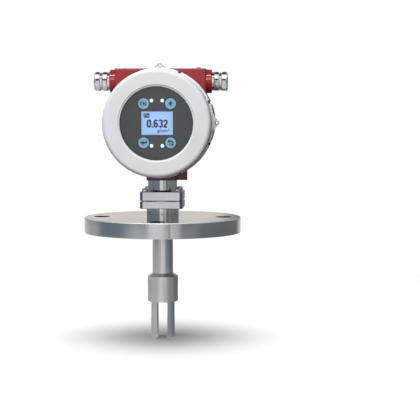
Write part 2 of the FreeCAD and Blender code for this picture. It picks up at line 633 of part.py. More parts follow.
def neck_lock_screw():
    """Grub screw in the side boss that keeps the head from turning on its neck."""
    start = Vector(NECK_THREAD_RADIUS + SLIP, 0, BASE_BOTTOM + LOCK_SCREW_HEIGHT)
    length = LOCK_BOSS_REACH - LOCK_SCREW_SINK - start.x
    socket_depth = LOCK_SCREW_RADIUS
    socket = hexagon(LOCK_SCREW_SOCKET_FLATS, socket_depth + BEYOND,
                     start + RIGHT * (length - socket_depth), RIGHT)
    return rod(LOCK_SCREW_RADIUS, length, start, RIGHT).cut(socket)


def top_screw():
    """Small pan-head screw on the conduit's top."""
    seat = Vector(TOP_SCREW_X, ENTRY_Y, CONDUIT_TOP_Z)
    head = turned([(0, 0), (TOP_SCREW_HEAD_RADIUS, 0),
                   (TOP_SCREW_HEAD_RADIUS, TOP_SCREW_HEAD_HEIGHT, TOP_SCREW_HEAD_HEIGHT / 2),
                   (0, TOP_SCREW_HEAD_HEIGHT)], seat)
    return head.fuse(rod(TOP_SCREW_RADIUS, TOP_SCREW_LENGTH, seat, DOWN)).removeSplitter()


# Covers

def grip_notches(radius, depth, first, length):
    """Cutters for the spanner notches round a cover, between the ears' positions."""
    half = NOTCH_WIDTH / 2
    floor = radius - depth
    top = radius + BEYOND
    step = 360.0 / NOTCH_COUNT
    cutters = []
    for k in range(NOTCH_COUNT):
        cutter = upright([(-half, floor), (half, floor), (half, top), (-half, top)], first, length)
        cutters.append(cutter.rotate(Vector(0, 0, HEAD_Z), BACKWARD, step / 2 + k * step))
    return cutters


def seal_ear(angle):
    """Lug for a seal wire: a drilled tip with hollow flanks, turned clockwise from the top by angle."""
    tip = EAR_TIP_RADIUS
    inner = SKIRT_RADIUS - EAR_ROOT
    foot = math.sqrt(SKIRT_RADIUS ** 2 - EAR_HALF_BASE ** 2) - EAR_SINK
    front = FRONT_RIM - EAR_FROM_RIM - EAR_THICKNESS
    flank = (EAR_HALF_BASE + tip) / 2
    hollow = (foot + EAR_HOLE_AT - EAR_SINK) / 2

    def place(x, z):
        return Vector(x, front, HEAD_Z + z)

    edges = [Part.Arc(place(-EAR_HALF_BASE, foot), place(-flank, hollow), place(-tip, EAR_HOLE_AT)),
             Part.Arc(place(-tip, EAR_HOLE_AT), place(0, EAR_HOLE_AT + tip), place(tip, EAR_HOLE_AT)),
             Part.Arc(place(tip, EAR_HOLE_AT), place(flank, hollow), place(EAR_HALF_BASE, foot)),
             Part.LineSegment(place(EAR_HALF_BASE, foot), place(EAR_HALF_BASE, inner)),
             Part.LineSegment(place(EAR_HALF_BASE, inner), place(-EAR_HALF_BASE, inner)),
             Part.LineSegment(place(-EAR_HALF_BASE, inner), place(-EAR_HALF_BASE, foot))]
    lug = Part.Face(Part.Wire([e.toShape() for e in edges])).extrude(BACKWARD * EAR_THICKNESS)
    hole_start = place(0, EAR_HOLE_AT) + FORWARD * BEYOND
    hole = rod(EAR_HOLE_RADIUS, EAR_THICKNESS + 2 * BEYOND, hole_start, BACKWARD)
    return lug.cut(hole).rotate(Vector(0, 0, HEAD_Z), BACKWARD, angle)


def front_cover():
    """Screwed cover with a window opening, a rounded front edge, a notched skirt and two seal ears."""
    thread = COVER_THREAD_RADIUS + RUNNING_GAP
    ring_pocket = COVER_THREAD_RADIUS + 2 * (RING_SECTION + RUNNING_GAP)
    glass_bore = GLASS_RADIUS + 2 * SLIP
    rim = FRONT_COVER_LENGTH
    skirt = rim - SKIRT_LENGTH
    pocket = GLASS_POCKET_END - FRONT_FACE
    land = WINDOW_RADIUS + WINDOW_LAND
    profile = [(WINDOW_RADIUS, WINDOW_LIP), (WINDOW_RADIUS, WINDOW_BEVEL), (land, WINDOW_BEVEL),
               (land + WINDOW_BEVEL, 0), (COVER_RADIUS, 0, FRONT_EDGE_ROUND), (COVER_RADIUS, skirt),
               (SKIRT_RADIUS - SKIRT_CHAMFER, skirt), (SKIRT_RADIUS, skirt + SKIRT_CHAMFER),
               (SKIRT_RADIUS, rim - SKIRT_CHAMFER), (SKIRT_RADIUS - SKIRT_CHAMFER, rim), (ring_pocket, rim),
               (ring_pocket, rim - RING_POCKET_DEPTH), (thread, rim - RING_POCKET_DEPTH), (thread, pocket),
               (glass_bore, pocket), (glass_bore, WINDOW_LIP)]
    shell = turned(profile, on_panel(0, 0, FRONT_FACE), BACKWARD)
    notch_start = FRONT_RIM - SKIRT_LENGTH - BEYOND
    notches = grip_notches(SKIRT_RADIUS, SKIRT_NOTCH_DEPTH, notch_start, SKIRT_LENGTH + 2 * BEYOND)
    core = rod(ring_pocket, FRONT_COVER_LENGTH, on_panel(0, 0, FRONT_FACE), BACKWARD)
    ears = [seal_ear(angle).cut(core) for angle in (0, 90)]
    return shell.cut(notches).fuse(ears).removeSplitter()


def front_cover_o_ring():
    """Seal in the front cover's rim."""
    depth = FRONT_RIM - RING_POCKET_DEPTH + RING_SECTION + RUNNING_GAP
    return seal_ring(COVER_THREAD_RADIUS + RING_SECTION + RUNNING_GAP, RING_SECTION,
                     on_panel(0, 0, depth), BACKWARD)


def window_gasket():
    """Flat seal between the cover's lip and the glass."""
    return tube(GLASS_RADIUS, WINDOW_RADIUS, GLASS_GASKET_THICKNESS,
                on_panel(0, 0, FRONT_FACE + WINDOW_LIP), BACKWARD)


def window_glass():
    """Thick glass disc behind the cover's lip."""
    return rod(GLASS_RADIUS, GLASS_THICKNESS, on_panel(0, 0, GLASS_FRONT), BACKWARD)


def window_retainer():
    """Ring screwed in behind the glass."""
    base = on_panel(0, 0, GLASS_BACK)
    return tube(GLASS_RADIUS + SLIP, RETAINER_BORE_RADIUS, RETAINER_LENGTH, base, BACKWARD)


def rear_cover():
    """Blind screwed cover of the terminal compartment, dished at the middle and notched at its edge."""
    thread = COVER_THREAD_RADIUS + RUNNING_GAP
    ring_pocket = COVER_THREAD_RADIUS + 2 * (RING_SECTION + RUNNING_GAP)
    rim = BACK_COVER_LENGTH
    profile = [(0, BACK_DISH_DEPTH), (BACK_DISH_RADIUS, BACK_DISH_DEPTH),
               (BACK_DISH_RADIUS + BACK_DISH_DEPTH, 0), (COVER_RADIUS, 0, BACK_EDGE_ROUND),
               (COVER_RADIUS, rim), (ring_pocket, rim),
               (ring_pocket, rim - RING_POCKET_DEPTH), (thread, rim - RING_POCKET_DEPTH),
               (thread, BACK_COVER_WALL), (0, BACK_COVER_WALL)]
    shell = turned(profile, on_panel(0, 0, BACK_FACE), FORWARD)
    notch_start = BACK_FACE - rim - BEYOND
    return shell.cut(grip_notches(COVER_RADIUS, BACK_NOTCH_DEPTH, notch_start, rim + 2 * BEYOND))


def rear_cover_o_ring():
    """Seal in the rear cover's rim."""
    depth = BACK_FACE - BACK_COVER_LENGTH + RING_POCKET_DEPTH - RING_SECTION - RUNNING_GAP
    return seal_ring(COVER_THREAD_RADIUS + RING_SECTION + RUNNING_GAP, RING_SECTION,
                     on_panel(0, 0, depth), BACKWARD)


# Display module

def face_plate():
    """Dark panel with cut-outs for the display, the touch keys and the lamps."""
    blank = rod(PANEL_RADIUS, PANEL_THICKNESS, on_panel(0, 0, PANEL_FRONT), BACKWARD)
    front = PANEL_FRONT - BEYOND
    deep = PANEL_THICKNESS + 2 * BEYOND
    cuts = [upright(rectangle(LCD_WIDTH / 2 + SLIP, LCD_HEIGHT / 2 + SLIP), front, deep)]
    cuts += [rod(KEY_RADIUS + SLIP, deep, on_panel(x, z, front), BACKWARD)
             for x, z in quadrant_points(KEY_HALF_X, KEY_HALF_Z)]
    cuts += [rod(LED_RADIUS + SLIP, deep, on_panel(x, z, front), BACKWARD)
             for x, z in quadrant_points(LED_HALF_X, LED_HALF_Z)]
    return blank.cut(cuts)


def lcd_module():
    """Display with a raised glass that fills the panel's cut-out."""
    glass = upright(rectangle(LCD_WIDTH / 2, LCD_HEIGHT / 2), PANEL_FRONT, PANEL_THICKNESS)
    body = upright(rectangle(LCD_WIDTH / 2 + LCD_BODY_MARGIN, LCD_HEIGHT / 2 + LCD_BODY_MARGIN),
                   PANEL_BACK, PANEL_TO_BOARD)
    return glass.fuse(body)


def key_window(x, z):
    """Infrared touch key: a light guide from the display board to the panel's front."""
    return rod(KEY_RADIUS, PANEL_THICKNESS + PANEL_TO_BOARD, on_panel(x, z, PANEL_FRONT), BACKWARD)


def status_leds():
    """Four lamps on the display board, reaching the panel's front."""
    length = PANEL_THICKNESS + PANEL_TO_BOARD
    return Part.Compound([rod(LED_RADIUS, length, on_panel(x, z, PANEL_FRONT), BACKWARD)
                          for x, z in quadrant_points(LED_HALF_X, LED_HALF_Z)])


def display_board():
    """Round circuit board behind the panel."""
    return rod(DISPLAY_BOARD_RADIUS, BOARD_THICKNESS, on_panel(0, 0, DISPLAY_BOARD_FRONT), BACKWARD)


def posts_between(front, back):
    """Four spacers of the display module."""
    return Part.Compound([rod(POST_RADIUS, back - front, on_panel(x, z, front), BACKWARD)
                          for x, z in quadrant_points(POST_OFFSET, POST_OFFSET)])


def display_standoffs():
    """Spacers from the panel to the display board."""
    return posts_between(PANEL_BACK, DISPLAY_BOARD_FRONT)


def board_standoffs():
    """Spacers from the display board to the main board."""
    return posts_between(DISPLAY_BOARD_BACK, MAIN_BOARD_FRONT)


def main_board():
    """Round circuit board on the casting's posts."""
    return rod(MAIN_BOARD_RADIUS, BOARD_THICKNESS, on_panel(0, 0, MAIN_BOARD_FRONT), BACKWARD)


# Wiring

def sensor_connector():
    """Plug of the sensor cable on the back of the main board."""
    x0 = -CONNECTOR_WIDTH / 2
    z0 = CABLE_TURN_Z - CONNECTOR_HEIGHT / 2
    corner = Vector(x0, MAIN_BOARD_BACK, z0)
    return Part.makeBox(CONNECTOR_WIDTH, CONNECTOR_DEPTH, CONNECTOR_HEIGHT, corner)


def signal_cable():
    """Cable from the piezo stack up the stem, then forward through the partition to its plug."""
    start = Vector(0, 0, BOLT_HEAD_TOP + RUNNING_GAP)
    bend_start = Vector(0, 0, CABLE_TURN_Z - CABLE_BEND)
    diagonal = CABLE_BEND * math.sqrt(0.5)
    bend_middle = bend_start + FORWARD * (CABLE_BEND - diagonal) + UP * diagonal
    bend_end = Vector(0, -CABLE_BEND, CABLE_TURN_Z)
    end = Vector(0, MAIN_BOARD_BACK + CONNECTOR_DEPTH, CABLE_TURN_Z)
    path = Part.Wire([Part.LineSegment(start, bend_start).toShape(),
                      Part.Arc(bend_start, bend_middle, bend_end).toShape(),
                      Part.LineSegment(bend_end, end).toShape()])
    section = Part.Wire([Part.Circle(start, UP, CABLE_RADIUS).toShape()])
    return path.makePipeShell([section], True, False)


def cable_grommet():
    """Seal that holds the cable in the top of the stem."""
    return tube(STEM_BORE_RADIUS - SLIP, CABLE_RADIUS + SLIP, GROMMET_LENGTH,
                Vector(0, 0, LOWER_SQUARE_TOP - GROMMET_LENGTH))


def terminal_centres():
    """X positions of the terminal poles."""
    first = -(TERMINAL_POLES - 1) / 2 * TERMINAL_PITCH
    return [first + k * TERMINAL_PITCH for k in range(TERMINAL_POLES)]


def terminal_block():
    """Stepped terminal strip on the partition: screw pockets on the step, wire holes below."""
    half = TERMINAL_POLES * TERMINAL_PITCH / 2
    low = TERMINAL_TOP - TERMINAL_HEIGHT
    ledge = TERMINAL_TOP - TERMINAL_LEDGE
    step = TERMINAL_STEP_FACE
    back = step + TERMINAL_STEP
    profile = [(PARTITION_BACK, low), (back, low), (back, ledge), (step, ledge), (step, TERMINAL_TOP),
               (PARTITION_BACK, TERMINAL_TOP)]
    block = outline_face(profile, lambda y, z: Vector(-half, y, z)).extrude(RIGHT * (2 * half))
    pockets = [rod(TERMINAL_SCREW_RADIUS + SLIP, TERMINAL_SCREW_HEIGHT, Vector(x, step, TERMINAL_SCREW_LINE),
                   FORWARD) for x in terminal_centres()]
    wires = [rod(WIRE_HOLE_RADIUS, TERMINAL_STEP, Vector(x, back - TERMINAL_STEP / 2, low), UP)
             for x in terminal_centres()]
    return block.cut(pockets + wires)


def terminal_screws():
    """Clamp screws of the terminal strip."""
    screws = []
    for x in terminal_centres():
        seat = Vector(x, TERMINAL_STEP_FACE, TERMINAL_SCREW_LINE)
        screw = rod(TERMINAL_SCREW_RADIUS, TERMINAL_SCREW_HEIGHT, seat, FORWARD)
        corner = seat - Vector(TERMINAL_SCREW_RADIUS, TERMINAL_SLOT_DEPTH, TERMINAL_SLOT_WIDTH / 2)
        slot = Part.makeBox(2 * TERMINAL_SCREW_RADIUS, TERMINAL_SLOT_DEPTH, TERMINAL_SLOT_WIDTH, corner)
        screws.append(screw.cut(slot))
    return Part.Compound(screws)


def inner_earth_screw():
    """Earth terminal screw on the partition of the terminal compartment."""
    seat = on_panel(EARTH_SCREW_X, -EARTH_SCREW_DROP, PARTITION_BACK)
    head = hexagon(EARTH_HEAD_RADIUS * math.sqrt(3), EARTH_HEAD_HEIGHT, seat, BACKWARD)
    shank = rod(EARTH_SCREW_RADIUS, PARTITION_THICKNESS - SLIP, seat, FORWARD)
    return head.fuse(shank).removeSplitter()


# Cable glands

def gland_start(side):
    """Point on an entry's axis at the boss's end, and the direction out of the head."""
    return Vector(side * ENTRY_END, ENTRY_Y, ENTRY_Z), Vector(side, 0, 0)


def gland_hexagon(length, base, out):
    """Spanner hexagon of a gland, its corners turned off at both ends."""
    corner = GLAND_FLATS / math.sqrt(3)
    rim = corner - 2 * GLAND_CHAMFER
    profile = [(0, 0), (rim, 0), (corner, GLAND_CHAMFER), (corner, length - GLAND_CHAMFER), (rim, length),
               (0, length)]
    return hexagon(GLAND_FLATS, length, base, out).common(turned(profile, base, out))


def gland_body(side):
    """Threaded gland body with a collar, a spanner hexagon and the nut's thread."""
    base, out = gland_start(side)
    hex_start = GLAND_COLLAR_LENGTH
    hex_end = hex_start + GLAND_HEX_LENGTH
    profile = [(GLAND_BORE_RADIUS, -GLAND_THREAD_LENGTH), (GLAND_THREAD_RADIUS - SLIP, -GLAND_THREAD_LENGTH),
               (GLAND_THREAD_RADIUS - SLIP, 0), (GLAND_COLLAR_RADIUS, 0), (GLAND_COLLAR_RADIUS, hex_start),
               (GLAND_NECK_RADIUS, hex_start), (GLAND_NECK_RADIUS, hex_end + GLAND_NECK_LENGTH),
               (GLAND_BORE_RADIUS, hex_end + GLAND_NECK_LENGTH)]
    nut = gland_hexagon(GLAND_HEX_LENGTH, base + out * hex_start, out)
    bore = rod(GLAND_BORE_RADIUS, GLAND_HEX_LENGTH + 2 * BEYOND, base + out * (hex_start - BEYOND), out)
    return turned(profile, base, out).fuse(nut.cut(bore)).removeSplitter()


def gland_nut(side):
    """Dome nut: a hexagon rounded off at its outer end, over the body's thread."""
    base, out = gland_start(side)
    start = base + out * (GLAND_COLLAR_LENGTH + GLAND_HEX_LENGTH + RUNNING_GAP)
    corner = GLAND_FLATS / math.sqrt(3)
    length = GLAND_NUT_LENGTH - RUNNING_GAP
    hollow = length - GLAND_NUT_END_WALL
    thread = GLAND_NECK_RADIUS + RUNNING_GAP
    hole = CABLE_ENTRY_RADIUS + 2 * RUNNING_GAP
    dome = [(thread, 0), (corner, 0), (corner, length, GLAND_NUT_DOME), (hole, length), (hole, hollow),
            (thread, hollow)]
    return gland_hexagon(length, start, out).common(turned(dome, start, out))


def gland_ring(side):
    """Slip ring between the dome nut and the rubber seal."""
    base, out = gland_start(side)
    nut_inside = GLAND_COLLAR_LENGTH + GLAND_HEX_LENGTH + GLAND_NUT_LENGTH - GLAND_NUT_END_WALL
    start = base + out * (nut_inside - RUNNING_GAP - GLAND_RING_THICKNESS)
    return tube(GLAND_NECK_RADIUS, CABLE_ENTRY_RADIUS + RUNNING_GAP, GLAND_RING_THICKNESS, start, out)


def gland_seal(side):
    """Rubber sleeve in the gland's mouth that closes round the cable."""
    base, out = gland_start(side)
    mouth = GLAND_COLLAR_LENGTH + GLAND_HEX_LENGTH + GLAND_NECK_LENGTH
    return tube(GLAND_BORE_RADIUS - SLIP, CABLE_ENTRY_RADIUS, GLAND_SEAL_LENGTH,
                base + out * (mouth - GLAND_SEAL_LENGTH), out)


def build_nodes():
    """All sub-parts by node name."""
    makers = [process_flange, stem_tube, sensor_collar, tuning_fork, stack_insulators, drive_piezo,
              stack_electrode, pickup_piezo, preload_bolt, temperature_sensor, lower_neck,
              lower_square_flange, flange_gasket, upper_square_flange, flange_screws, upper_neck,
              neck_o_ring, housing_body, neck_lock_screw, top_screw, front_cover, front_cover_o_ring,
              window_gasket, window_glass, window_retainer, rear_cover, rear_cover_o_ring, face_plate,
              lcd_module, status_leds, display_board, display_standoffs, board_standoffs, main_board,
              sensor_connector, signal_cable, cable_grommet, terminal_block, terminal_screws,
              inner_earth_screw]
    nodes = {maker.__name__: maker() for maker in makers}
    key_names = ["key_upper_left", "key_upper_right", "key_lower_left", "key_lower_right"]
    for name, (x, z) in zip(key_names, quadrant_points(KEY_HALF_X, KEY_HALF_Z)):
        nodes[name] = key_window(x, z)
    for side, word in ((-1, "left"), (1, "right")):
        for maker in (gland_body, gland_nut, gland_ring, gland_seal):
            nodes[f"{maker.__name__}_{word}"] = maker(side)
    return nodes


os.makedirs("parts", exist_ok=True)
for node_name, node_shape in build_nodes().items():
    node_shape.exportStep(f"parts/{node_name}.step")
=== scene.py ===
"""Looks of an upright tuning fork density meter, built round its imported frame.

Operators in the sidebar make the finishes, the small pieces and the studio. Lengths are metres in the frame's
own axes: Z runs up the stem, the display faces -Y, the bolting plane of the flange is at zero.
"""
import json
import math

import bmesh
import bpy
import numpy as np
from bpy.props import FloatProperty, FloatVectorProperty, PointerProperty
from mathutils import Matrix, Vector

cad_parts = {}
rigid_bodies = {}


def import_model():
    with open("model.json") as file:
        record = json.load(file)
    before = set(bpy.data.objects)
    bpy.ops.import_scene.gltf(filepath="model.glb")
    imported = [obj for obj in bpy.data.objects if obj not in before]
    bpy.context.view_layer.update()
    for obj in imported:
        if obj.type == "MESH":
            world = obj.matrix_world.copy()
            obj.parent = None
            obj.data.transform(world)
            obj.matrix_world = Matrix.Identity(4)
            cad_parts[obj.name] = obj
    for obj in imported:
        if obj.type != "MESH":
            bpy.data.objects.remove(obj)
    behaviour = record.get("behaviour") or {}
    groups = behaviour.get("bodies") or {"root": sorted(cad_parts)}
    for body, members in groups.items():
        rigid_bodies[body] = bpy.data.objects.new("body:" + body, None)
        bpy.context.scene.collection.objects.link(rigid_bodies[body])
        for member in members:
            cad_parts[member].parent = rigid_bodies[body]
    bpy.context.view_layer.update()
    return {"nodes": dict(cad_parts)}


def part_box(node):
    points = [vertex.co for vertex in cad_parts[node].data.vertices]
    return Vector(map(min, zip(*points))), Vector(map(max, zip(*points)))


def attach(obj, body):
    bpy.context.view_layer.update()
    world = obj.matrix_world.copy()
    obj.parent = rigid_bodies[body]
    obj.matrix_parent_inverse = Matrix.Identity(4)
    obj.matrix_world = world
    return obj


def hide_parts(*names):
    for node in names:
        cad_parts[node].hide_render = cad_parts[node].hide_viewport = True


bl_info = {
    "name": "Tuning Fork Density Meter",
    "version": (1, 0, 0),
    "blender": (4, 5, 0),
    "location": "View3D > Sidebar > Meter",
    "description": "Finishes, small pieces and studio of a flanged tuning fork density meter",
    "category": "Object",
}

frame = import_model()
MM = 0.001
FULL_TURN = 2 * math.pi
SHARP_ANGLE = math.radians(32)
MERGE_DISTANCE = 1e-7
X_AXIS, Y_AXIS, Z_AXIS = (1, 0, 0), (0, 1, 0), (0, 0, 1)


def ends(node):
    """Lowest and highest corner of a node, as two arrays."""
    low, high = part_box(node)
    return np.array(low), np.array(high)


def middle(node):
    """Centre of a node's box."""
    low, high = ends(node)
    return (low + high) / 2


def half(node, axis):
    """Half of a node's extent along axis 0, 1 or 2."""
    low, high = ends(node)
    return (high[axis] - low[axis]) / 2


# Places that come from the frame
HEAD_HEIGHT = float(middle("window_glass")[2])
GLASS_FRONT = float(ends("window_glass")[0][1])
SCREEN_FRONT = float(ends("lcd_module")[0][1])
PLATE_TOP = float(ends("upper_square_flange")[1][2])
FLANGE_RIM, FLANGE_TOP = (float(ends("process_flange")[1][axis]) for axis in (0, 2))
FLOOR_HEIGHT = float(ends("tuning_fork")[0][2])

# Places that the finishes follow: on the steel, on the enamel, and on the display from the head's axis
BOLT_CIRCLE = 72.5 * MM
# Walls of the holes, painted near black as shade, and a ring round each hole painted brighter as a highlight
HOLE_WALL, HOLE_HIGHLIGHT = (10.0 * MM, 9.6 * MM), (13.5 * MM, 12.0 * MM)
# Height of the painted shade band at the upper neck's foot
NECK_SHADE_HEIGHT = PLATE_TOP + 0.7 * MM
RIM_EDGE = (FLANGE_RIM - 1.0 * MM, FLANGE_RIM - 0.7 * MM)
TOP_EDGE = (FLANGE_TOP - 1.0 * MM, FLANGE_TOP - 0.7 * MM)
PLATE_SIDE = (21.6 * MM, 22.4 * MM)
SKIRT_RADIUS = 63.2 * MM
BOSS_START = 53.0 * MM
REAR_LIP = (32.1 * MM, 34.0 * MM)
PANEL_RADIUS = 42 * MM
SCREEN_HALF = (17.6 * MM, 13.0 * MM)
SCREEN_DOT = 0.45 * MM
KEY_PLACE = (15.2 * MM, 22 * MM)
LED_PLACE = (6.1 * MM, 25.4 * MM)

# Boards round the studio that reflections show, each from one heading to another, with its grey and its
# blueness. Headings are degrees to the right of the way the display faces, and the tone runs over evenly from
# board to board.
RIM_BOARDS = (
    (-180, -150, 0.73, -0.25), (-118, -106, 0.50, 0.05), (-90, -58, 0.235, 0.8), (-33, -19, 0.60, 0.2),
    (-8, 2, 0.94, 0.05), (8, 11.5, 0.70, 0.2), (13, 14.2, 0.28, 0.3), (15.5, 19, 0.90, 0.1),
    (21, 24, 0.67, 0.3), (31, 46, 0.34, 0.5), (62, 138, 0.20, 0.4), (156, 180, 0.68, -0.15))
NECK_BOARDS = (
    (-180, -162, 0.67, -0.2), (-148, -19, 0.25, 0.8), (-14, 6, 0.92, 0.1), (9, 19, 0.47, 0.3),
    (22, 27, 0.62, 0.2), (33, 45, 0.21, 0.4), (48, 58, 0.30, 0.3), (66, 177, 0.25, 0.2), (179, 180, 0.66, -0.2))
STEM_BOARDS = (
    (-180, -175, 0.72, -0.1), (-140, -70, 0.55, 0.05), (-45, -20, 0.62, 0.1), (-11, -6, 0.94, 0.05),
    (-1, 27, 0.80, 0.1), (33, 38, 0.44, 0.3), (47, 60, 0.31, 0.35), (90, 150, 0.18, 0.35), (175, 180, 0.68, -0.1))
COLLAR_BOARDS = (
    (-180, -165, 0.28, 0.1), (-140, -95, 0.57, 0.1), (-78, -38, 0.63, 0.05), (-21, 0, 0.845, 0.1),
    (10, 29, 0.69, 0.15), (36, 44, 0.50, 0.25), (52, 75, 0.36, 0.35), (110, 180, 0.21, 0.3))
BLUE_TINT = (-0.25, 0.0, 0.20)


# Settings that a user would change

class MeterSizes(bpy.types.PropertyGroup):
    """Sizes of the small pieces."""

    cover_pitch: FloatProperty(
        name="Cover thread pitch", description="Travel of a cover for each turn", default=2 * MM, unit="LENGTH")
    cover_thread_radius: FloatProperty(
        name="Cover thread radius", description="Radius of the housing's mouths", default=54.5 * MM,
        unit="LENGTH")
    cover_thread_depth: FloatProperty(
        name="Cover thread depth", description="Height of the housing's thread", default=0.28 * MM,
        unit="LENGTH")
    gland_flats: FloatProperty(
        name="Gland width", description="Width of the glands across their flats", default=22 * MM,
        unit="LENGTH")
    gland_crown: FloatProperty(
        name="Gland crown", description="How far the glands' flats swell towards a round, from 0 to 1",
        default=0.42, min=0.0, max=1.0)
    gland_pitch: FloatProperty(
        name="Gland thread pitch", description="Travel of a gland nut for each turn", default=1.5 * MM,
        unit="LENGTH")
    screw_radius: FloatProperty(
        name="Cap screw radius", description="Radius of the cap screws' heads", default=3.5 * MM, unit="LENGTH")
    digit_height: FloatProperty(
        name="Digit height", description="Height of the display's figures", default=9.4 * MM, unit="LENGTH")
    ink_depth: FloatProperty(
        name="Ink depth", description="How far printed marks stand off what carries them", default=0.12 * MM,
        unit="LENGTH")


class MeterColours(bpy.types.PropertyGroup):
    """Colours of the finishes, linear."""

    red: FloatVectorProperty(
        name="Housing", description="Red enamel of the housing", subtype="COLOR", size=3,
        default=(0.27, 0.014, 0.021))
    white: FloatVectorProperty(
        name="Covers", description="White enamel of the covers", subtype="COLOR", size=3,
        default=(0.80, 0.805, 0.83))
    steel: FloatVectorProperty(
        name="Steel", description="Stainless steel of flange, stem and fork", subtype="COLOR", size=3,
        default=(0.60, 0.60, 0.605))
    panel: FloatVectorProperty(
        name="Panel", description="Foil of the display panel", subtype="COLOR", size=3,
        default=(0.0385, 0.036, 0.0385))
    screen: FloatVectorProperty(
        name="Screen", description="Lit display", subtype="COLOR", size=3, default=(0.32, 0.53, 0.98))
    key: FloatVectorProperty(
        name="Keys", description="Touch key windows", subtype="COLOR", size=3, default=(0.20, 0.50, 0.72))


class MeterStudio(bpy.types.PropertyGroup):
    """Camera and light."""

    lens: FloatProperty(
        name="Lens", description="Focal length in millimetres", default=112.63, subtype="NONE")
    camera_place: FloatVectorProperty(
        name="Camera", description="Where the camera stands", subtype="TRANSLATION", size=3,
        default=(0.12477, -1.55077, 0.14736))
    camera_heading: FloatProperty(
        name="Heading", description="Turn of the camera towards the left", default=math.radians(2.531),
        subtype="ANGLE")
    camera_dip: FloatProperty(
        name="Dip", description="How far the camera looks down", default=math.radians(4.466), subtype="ANGLE")
    strip_power: FloatProperty(
        name="Strip light", description="Power of the strip lamp above", default=13.0, unit="POWER")
    front_power: FloatProperty(
        name="Front light", description="Power of the lamp in front", default=18.0, unit="POWER")
    rear_power: FloatProperty(
        name="Rear light", description="Power of the soft lamp behind the meter", default=12.0, unit="POWER")
    panel_power: FloatProperty(
        name="Panel light", description="Power of the lamp that only the display panel takes", default=13.0,
        unit="POWER")
    floor_power: FloatProperty(
        name="Floor light", description="Power of the lamp that only the floor takes", default=33.0,
        unit="POWER")


def sizes():
    """The sizes in use."""
    return bpy.context.scene.meter_sizes


def colours():
    """The colours in use."""
    return bpy.context.scene.meter_colours


# Shader arithmetic

class Wire:
    """A node's output, on which plain arithmetic adds Math nodes."""

    def __init__(self, finish, socket):
        self.finish = finish
        self.socket = socket

    def math(self, operation, *values):
        """Math node of one operation on the given values."""
        return self.finish.add("Math", {"operation": operation}, dict(enumerate(values)))

    def __add__(self, other):
        return self.math("ADD", self, other)

    def __radd__(self, other):
        return self.math("ADD", other, self)

    def __sub__(self, other):
        return self.math("SUBTRACT", self, other)

    def __rsub__(self, other):
        return self.math("SUBTRACT", other, self)

    def __mul__(self, other):
        return self.math("MULTIPLY", self, other)

    def __rmul__(self, other):
        return self.math("MULTIPLY", other, self)

    def __truediv__(self, other):
        return self.math("DIVIDE", self, other)

    def __rtruediv__(self, other):
        return self.math("DIVIDE", other, self)

    def __abs__(self):
        return self.math("ABSOLUTE", self)

    def sine(self):
        """Sine of an angle in radians."""
        return self.math("SINE", self)

    def greatest(self, other):
        """The larger of two values."""
        return self.math("MAXIMUM", self, other)

    def least(self, other):
        """The smaller of two values."""
        return self.math("MINIMUM", self, other)

    def step(self, low, high, first=0.0, last=1.0):
        """Smooth step from first to last while the value goes from low to high."""
        return self.finish.add("MapRange", {"interpolation_type": "SMOOTHSTEP"}, {
            "Value": self, "From Min": low, "From Max": high, "To Min": first, "To Max": last})

    def output(self, name):
        """Another output of the same node."""
        return Wire(self.finish, self.socket.node.outputs[name])


class Finish:
    """Node tree of a material or of the world."""

    def __init__(self, tree):
        self.tree = tree
        tree.nodes.clear()

    def add(self, kind, settings=None, sockets=None):
        """One node: its settings first, then the values or links of its sockets."""
        node = self.tree.nodes.new("ShaderNode" + kind)
        for name, value in (settings or {}).items():
            if name == "stops":
                self.fill_ramp(node.color_ramp, value)
            else:
                setattr(node, name, value)
        for name, value in (sockets or {}).items():
            if isinstance(name, int):
                socket = node.inputs[name]
            else:
                socket = next(s for s in node.inputs if name in (s.identifier, s.name))
            if isinstance(value, Wire):
                self.tree.links.new(value.socket, socket)
            else:
                socket.default_value = value
        shown = [socket for socket in node.outputs if socket.enabled]
        return Wire(self, shown[0]) if shown else None

    @staticmethod
    def fill_ramp(ramp, stops):
        """Stops of a ramp as (place, colour) pairs."""
        while len(ramp.elements) > 1:
            ramp.elements.remove(ramp.elements[-1])
        for index, (place, colour) in enumerate(stops):
            stop = ramp.elements[0] if index == 0 else ramp.elements.new(place)
            stop.position = place
            stop.color = (*colour, 1.0)

    def place(self):
        """Object coordinates."""
        return self.add("TexCoord").output("Object")

    def axes(self, vector=None):
        """X, Y and Z of a vector, of Object coordinates by default."""
        parts = self.add("SeparateXYZ", sockets={"Vector": vector or self.place()})
        return parts, parts.output("Y"), parts.output("Z")

    def head_axes(self):
        """X, Y and Z of Object coordinates, with Z from the head's axis."""
        x, y, z = self.axes()
        return x, y, z - HEAD_HEIGHT

    def noise(self, scale, detail, stretch=None):
        """Noise between 0 and 1 on Object coordinates, with its own scale along each axis where stretch is given."""
        vector = self.place()
        if stretch:
            vector = self.add("Mapping", sockets={"Vector": vector, "Scale": stretch})
        return self.add("TexNoise", {"noise_dimensions": "3D"}, {
            "Vector": vector, "Scale": scale, "Detail": detail})

    def line_noise(self, value, scale, detail):
        """Noise along one value only."""
        return self.add("TexNoise", {"noise_dimensions": "1D"}, {"W": value, "Scale": scale, "Detail": detail})

    def mix(self, factor, first, second):
        """Colour between first and second."""
        return self.add("Mix", {"data_type": "RGBA"}, {
            "Factor_Float": factor, "A_Color": shade(first), "B_Color": shade(second)}).output(2)

    def mix_shaders(self, factor, first, second):
        """Shader between first and second."""
        return self.add("MixShader", sockets={0: factor, 1: first, 2: second})

    def glow(self, colour):
        """Shader that gives off a colour and takes no light."""
        return self.add("Emission", sockets={"Color": shade(colour), "Strength": 1.0})

    def bump(self, height, distance, strength):
        """Normal of a surface raised by height times distance."""
        return self.add("Bump", sockets={"Strength": strength, "Distance": distance, "Height": height})

    def surface(self, shader):
        """Ends the tree in its output."""
        kind = "OutputWorld" if self.tree.id_data.id_type == "WORLD" else "OutputMaterial"
        self.add(kind, sockets={"Surface": shader})


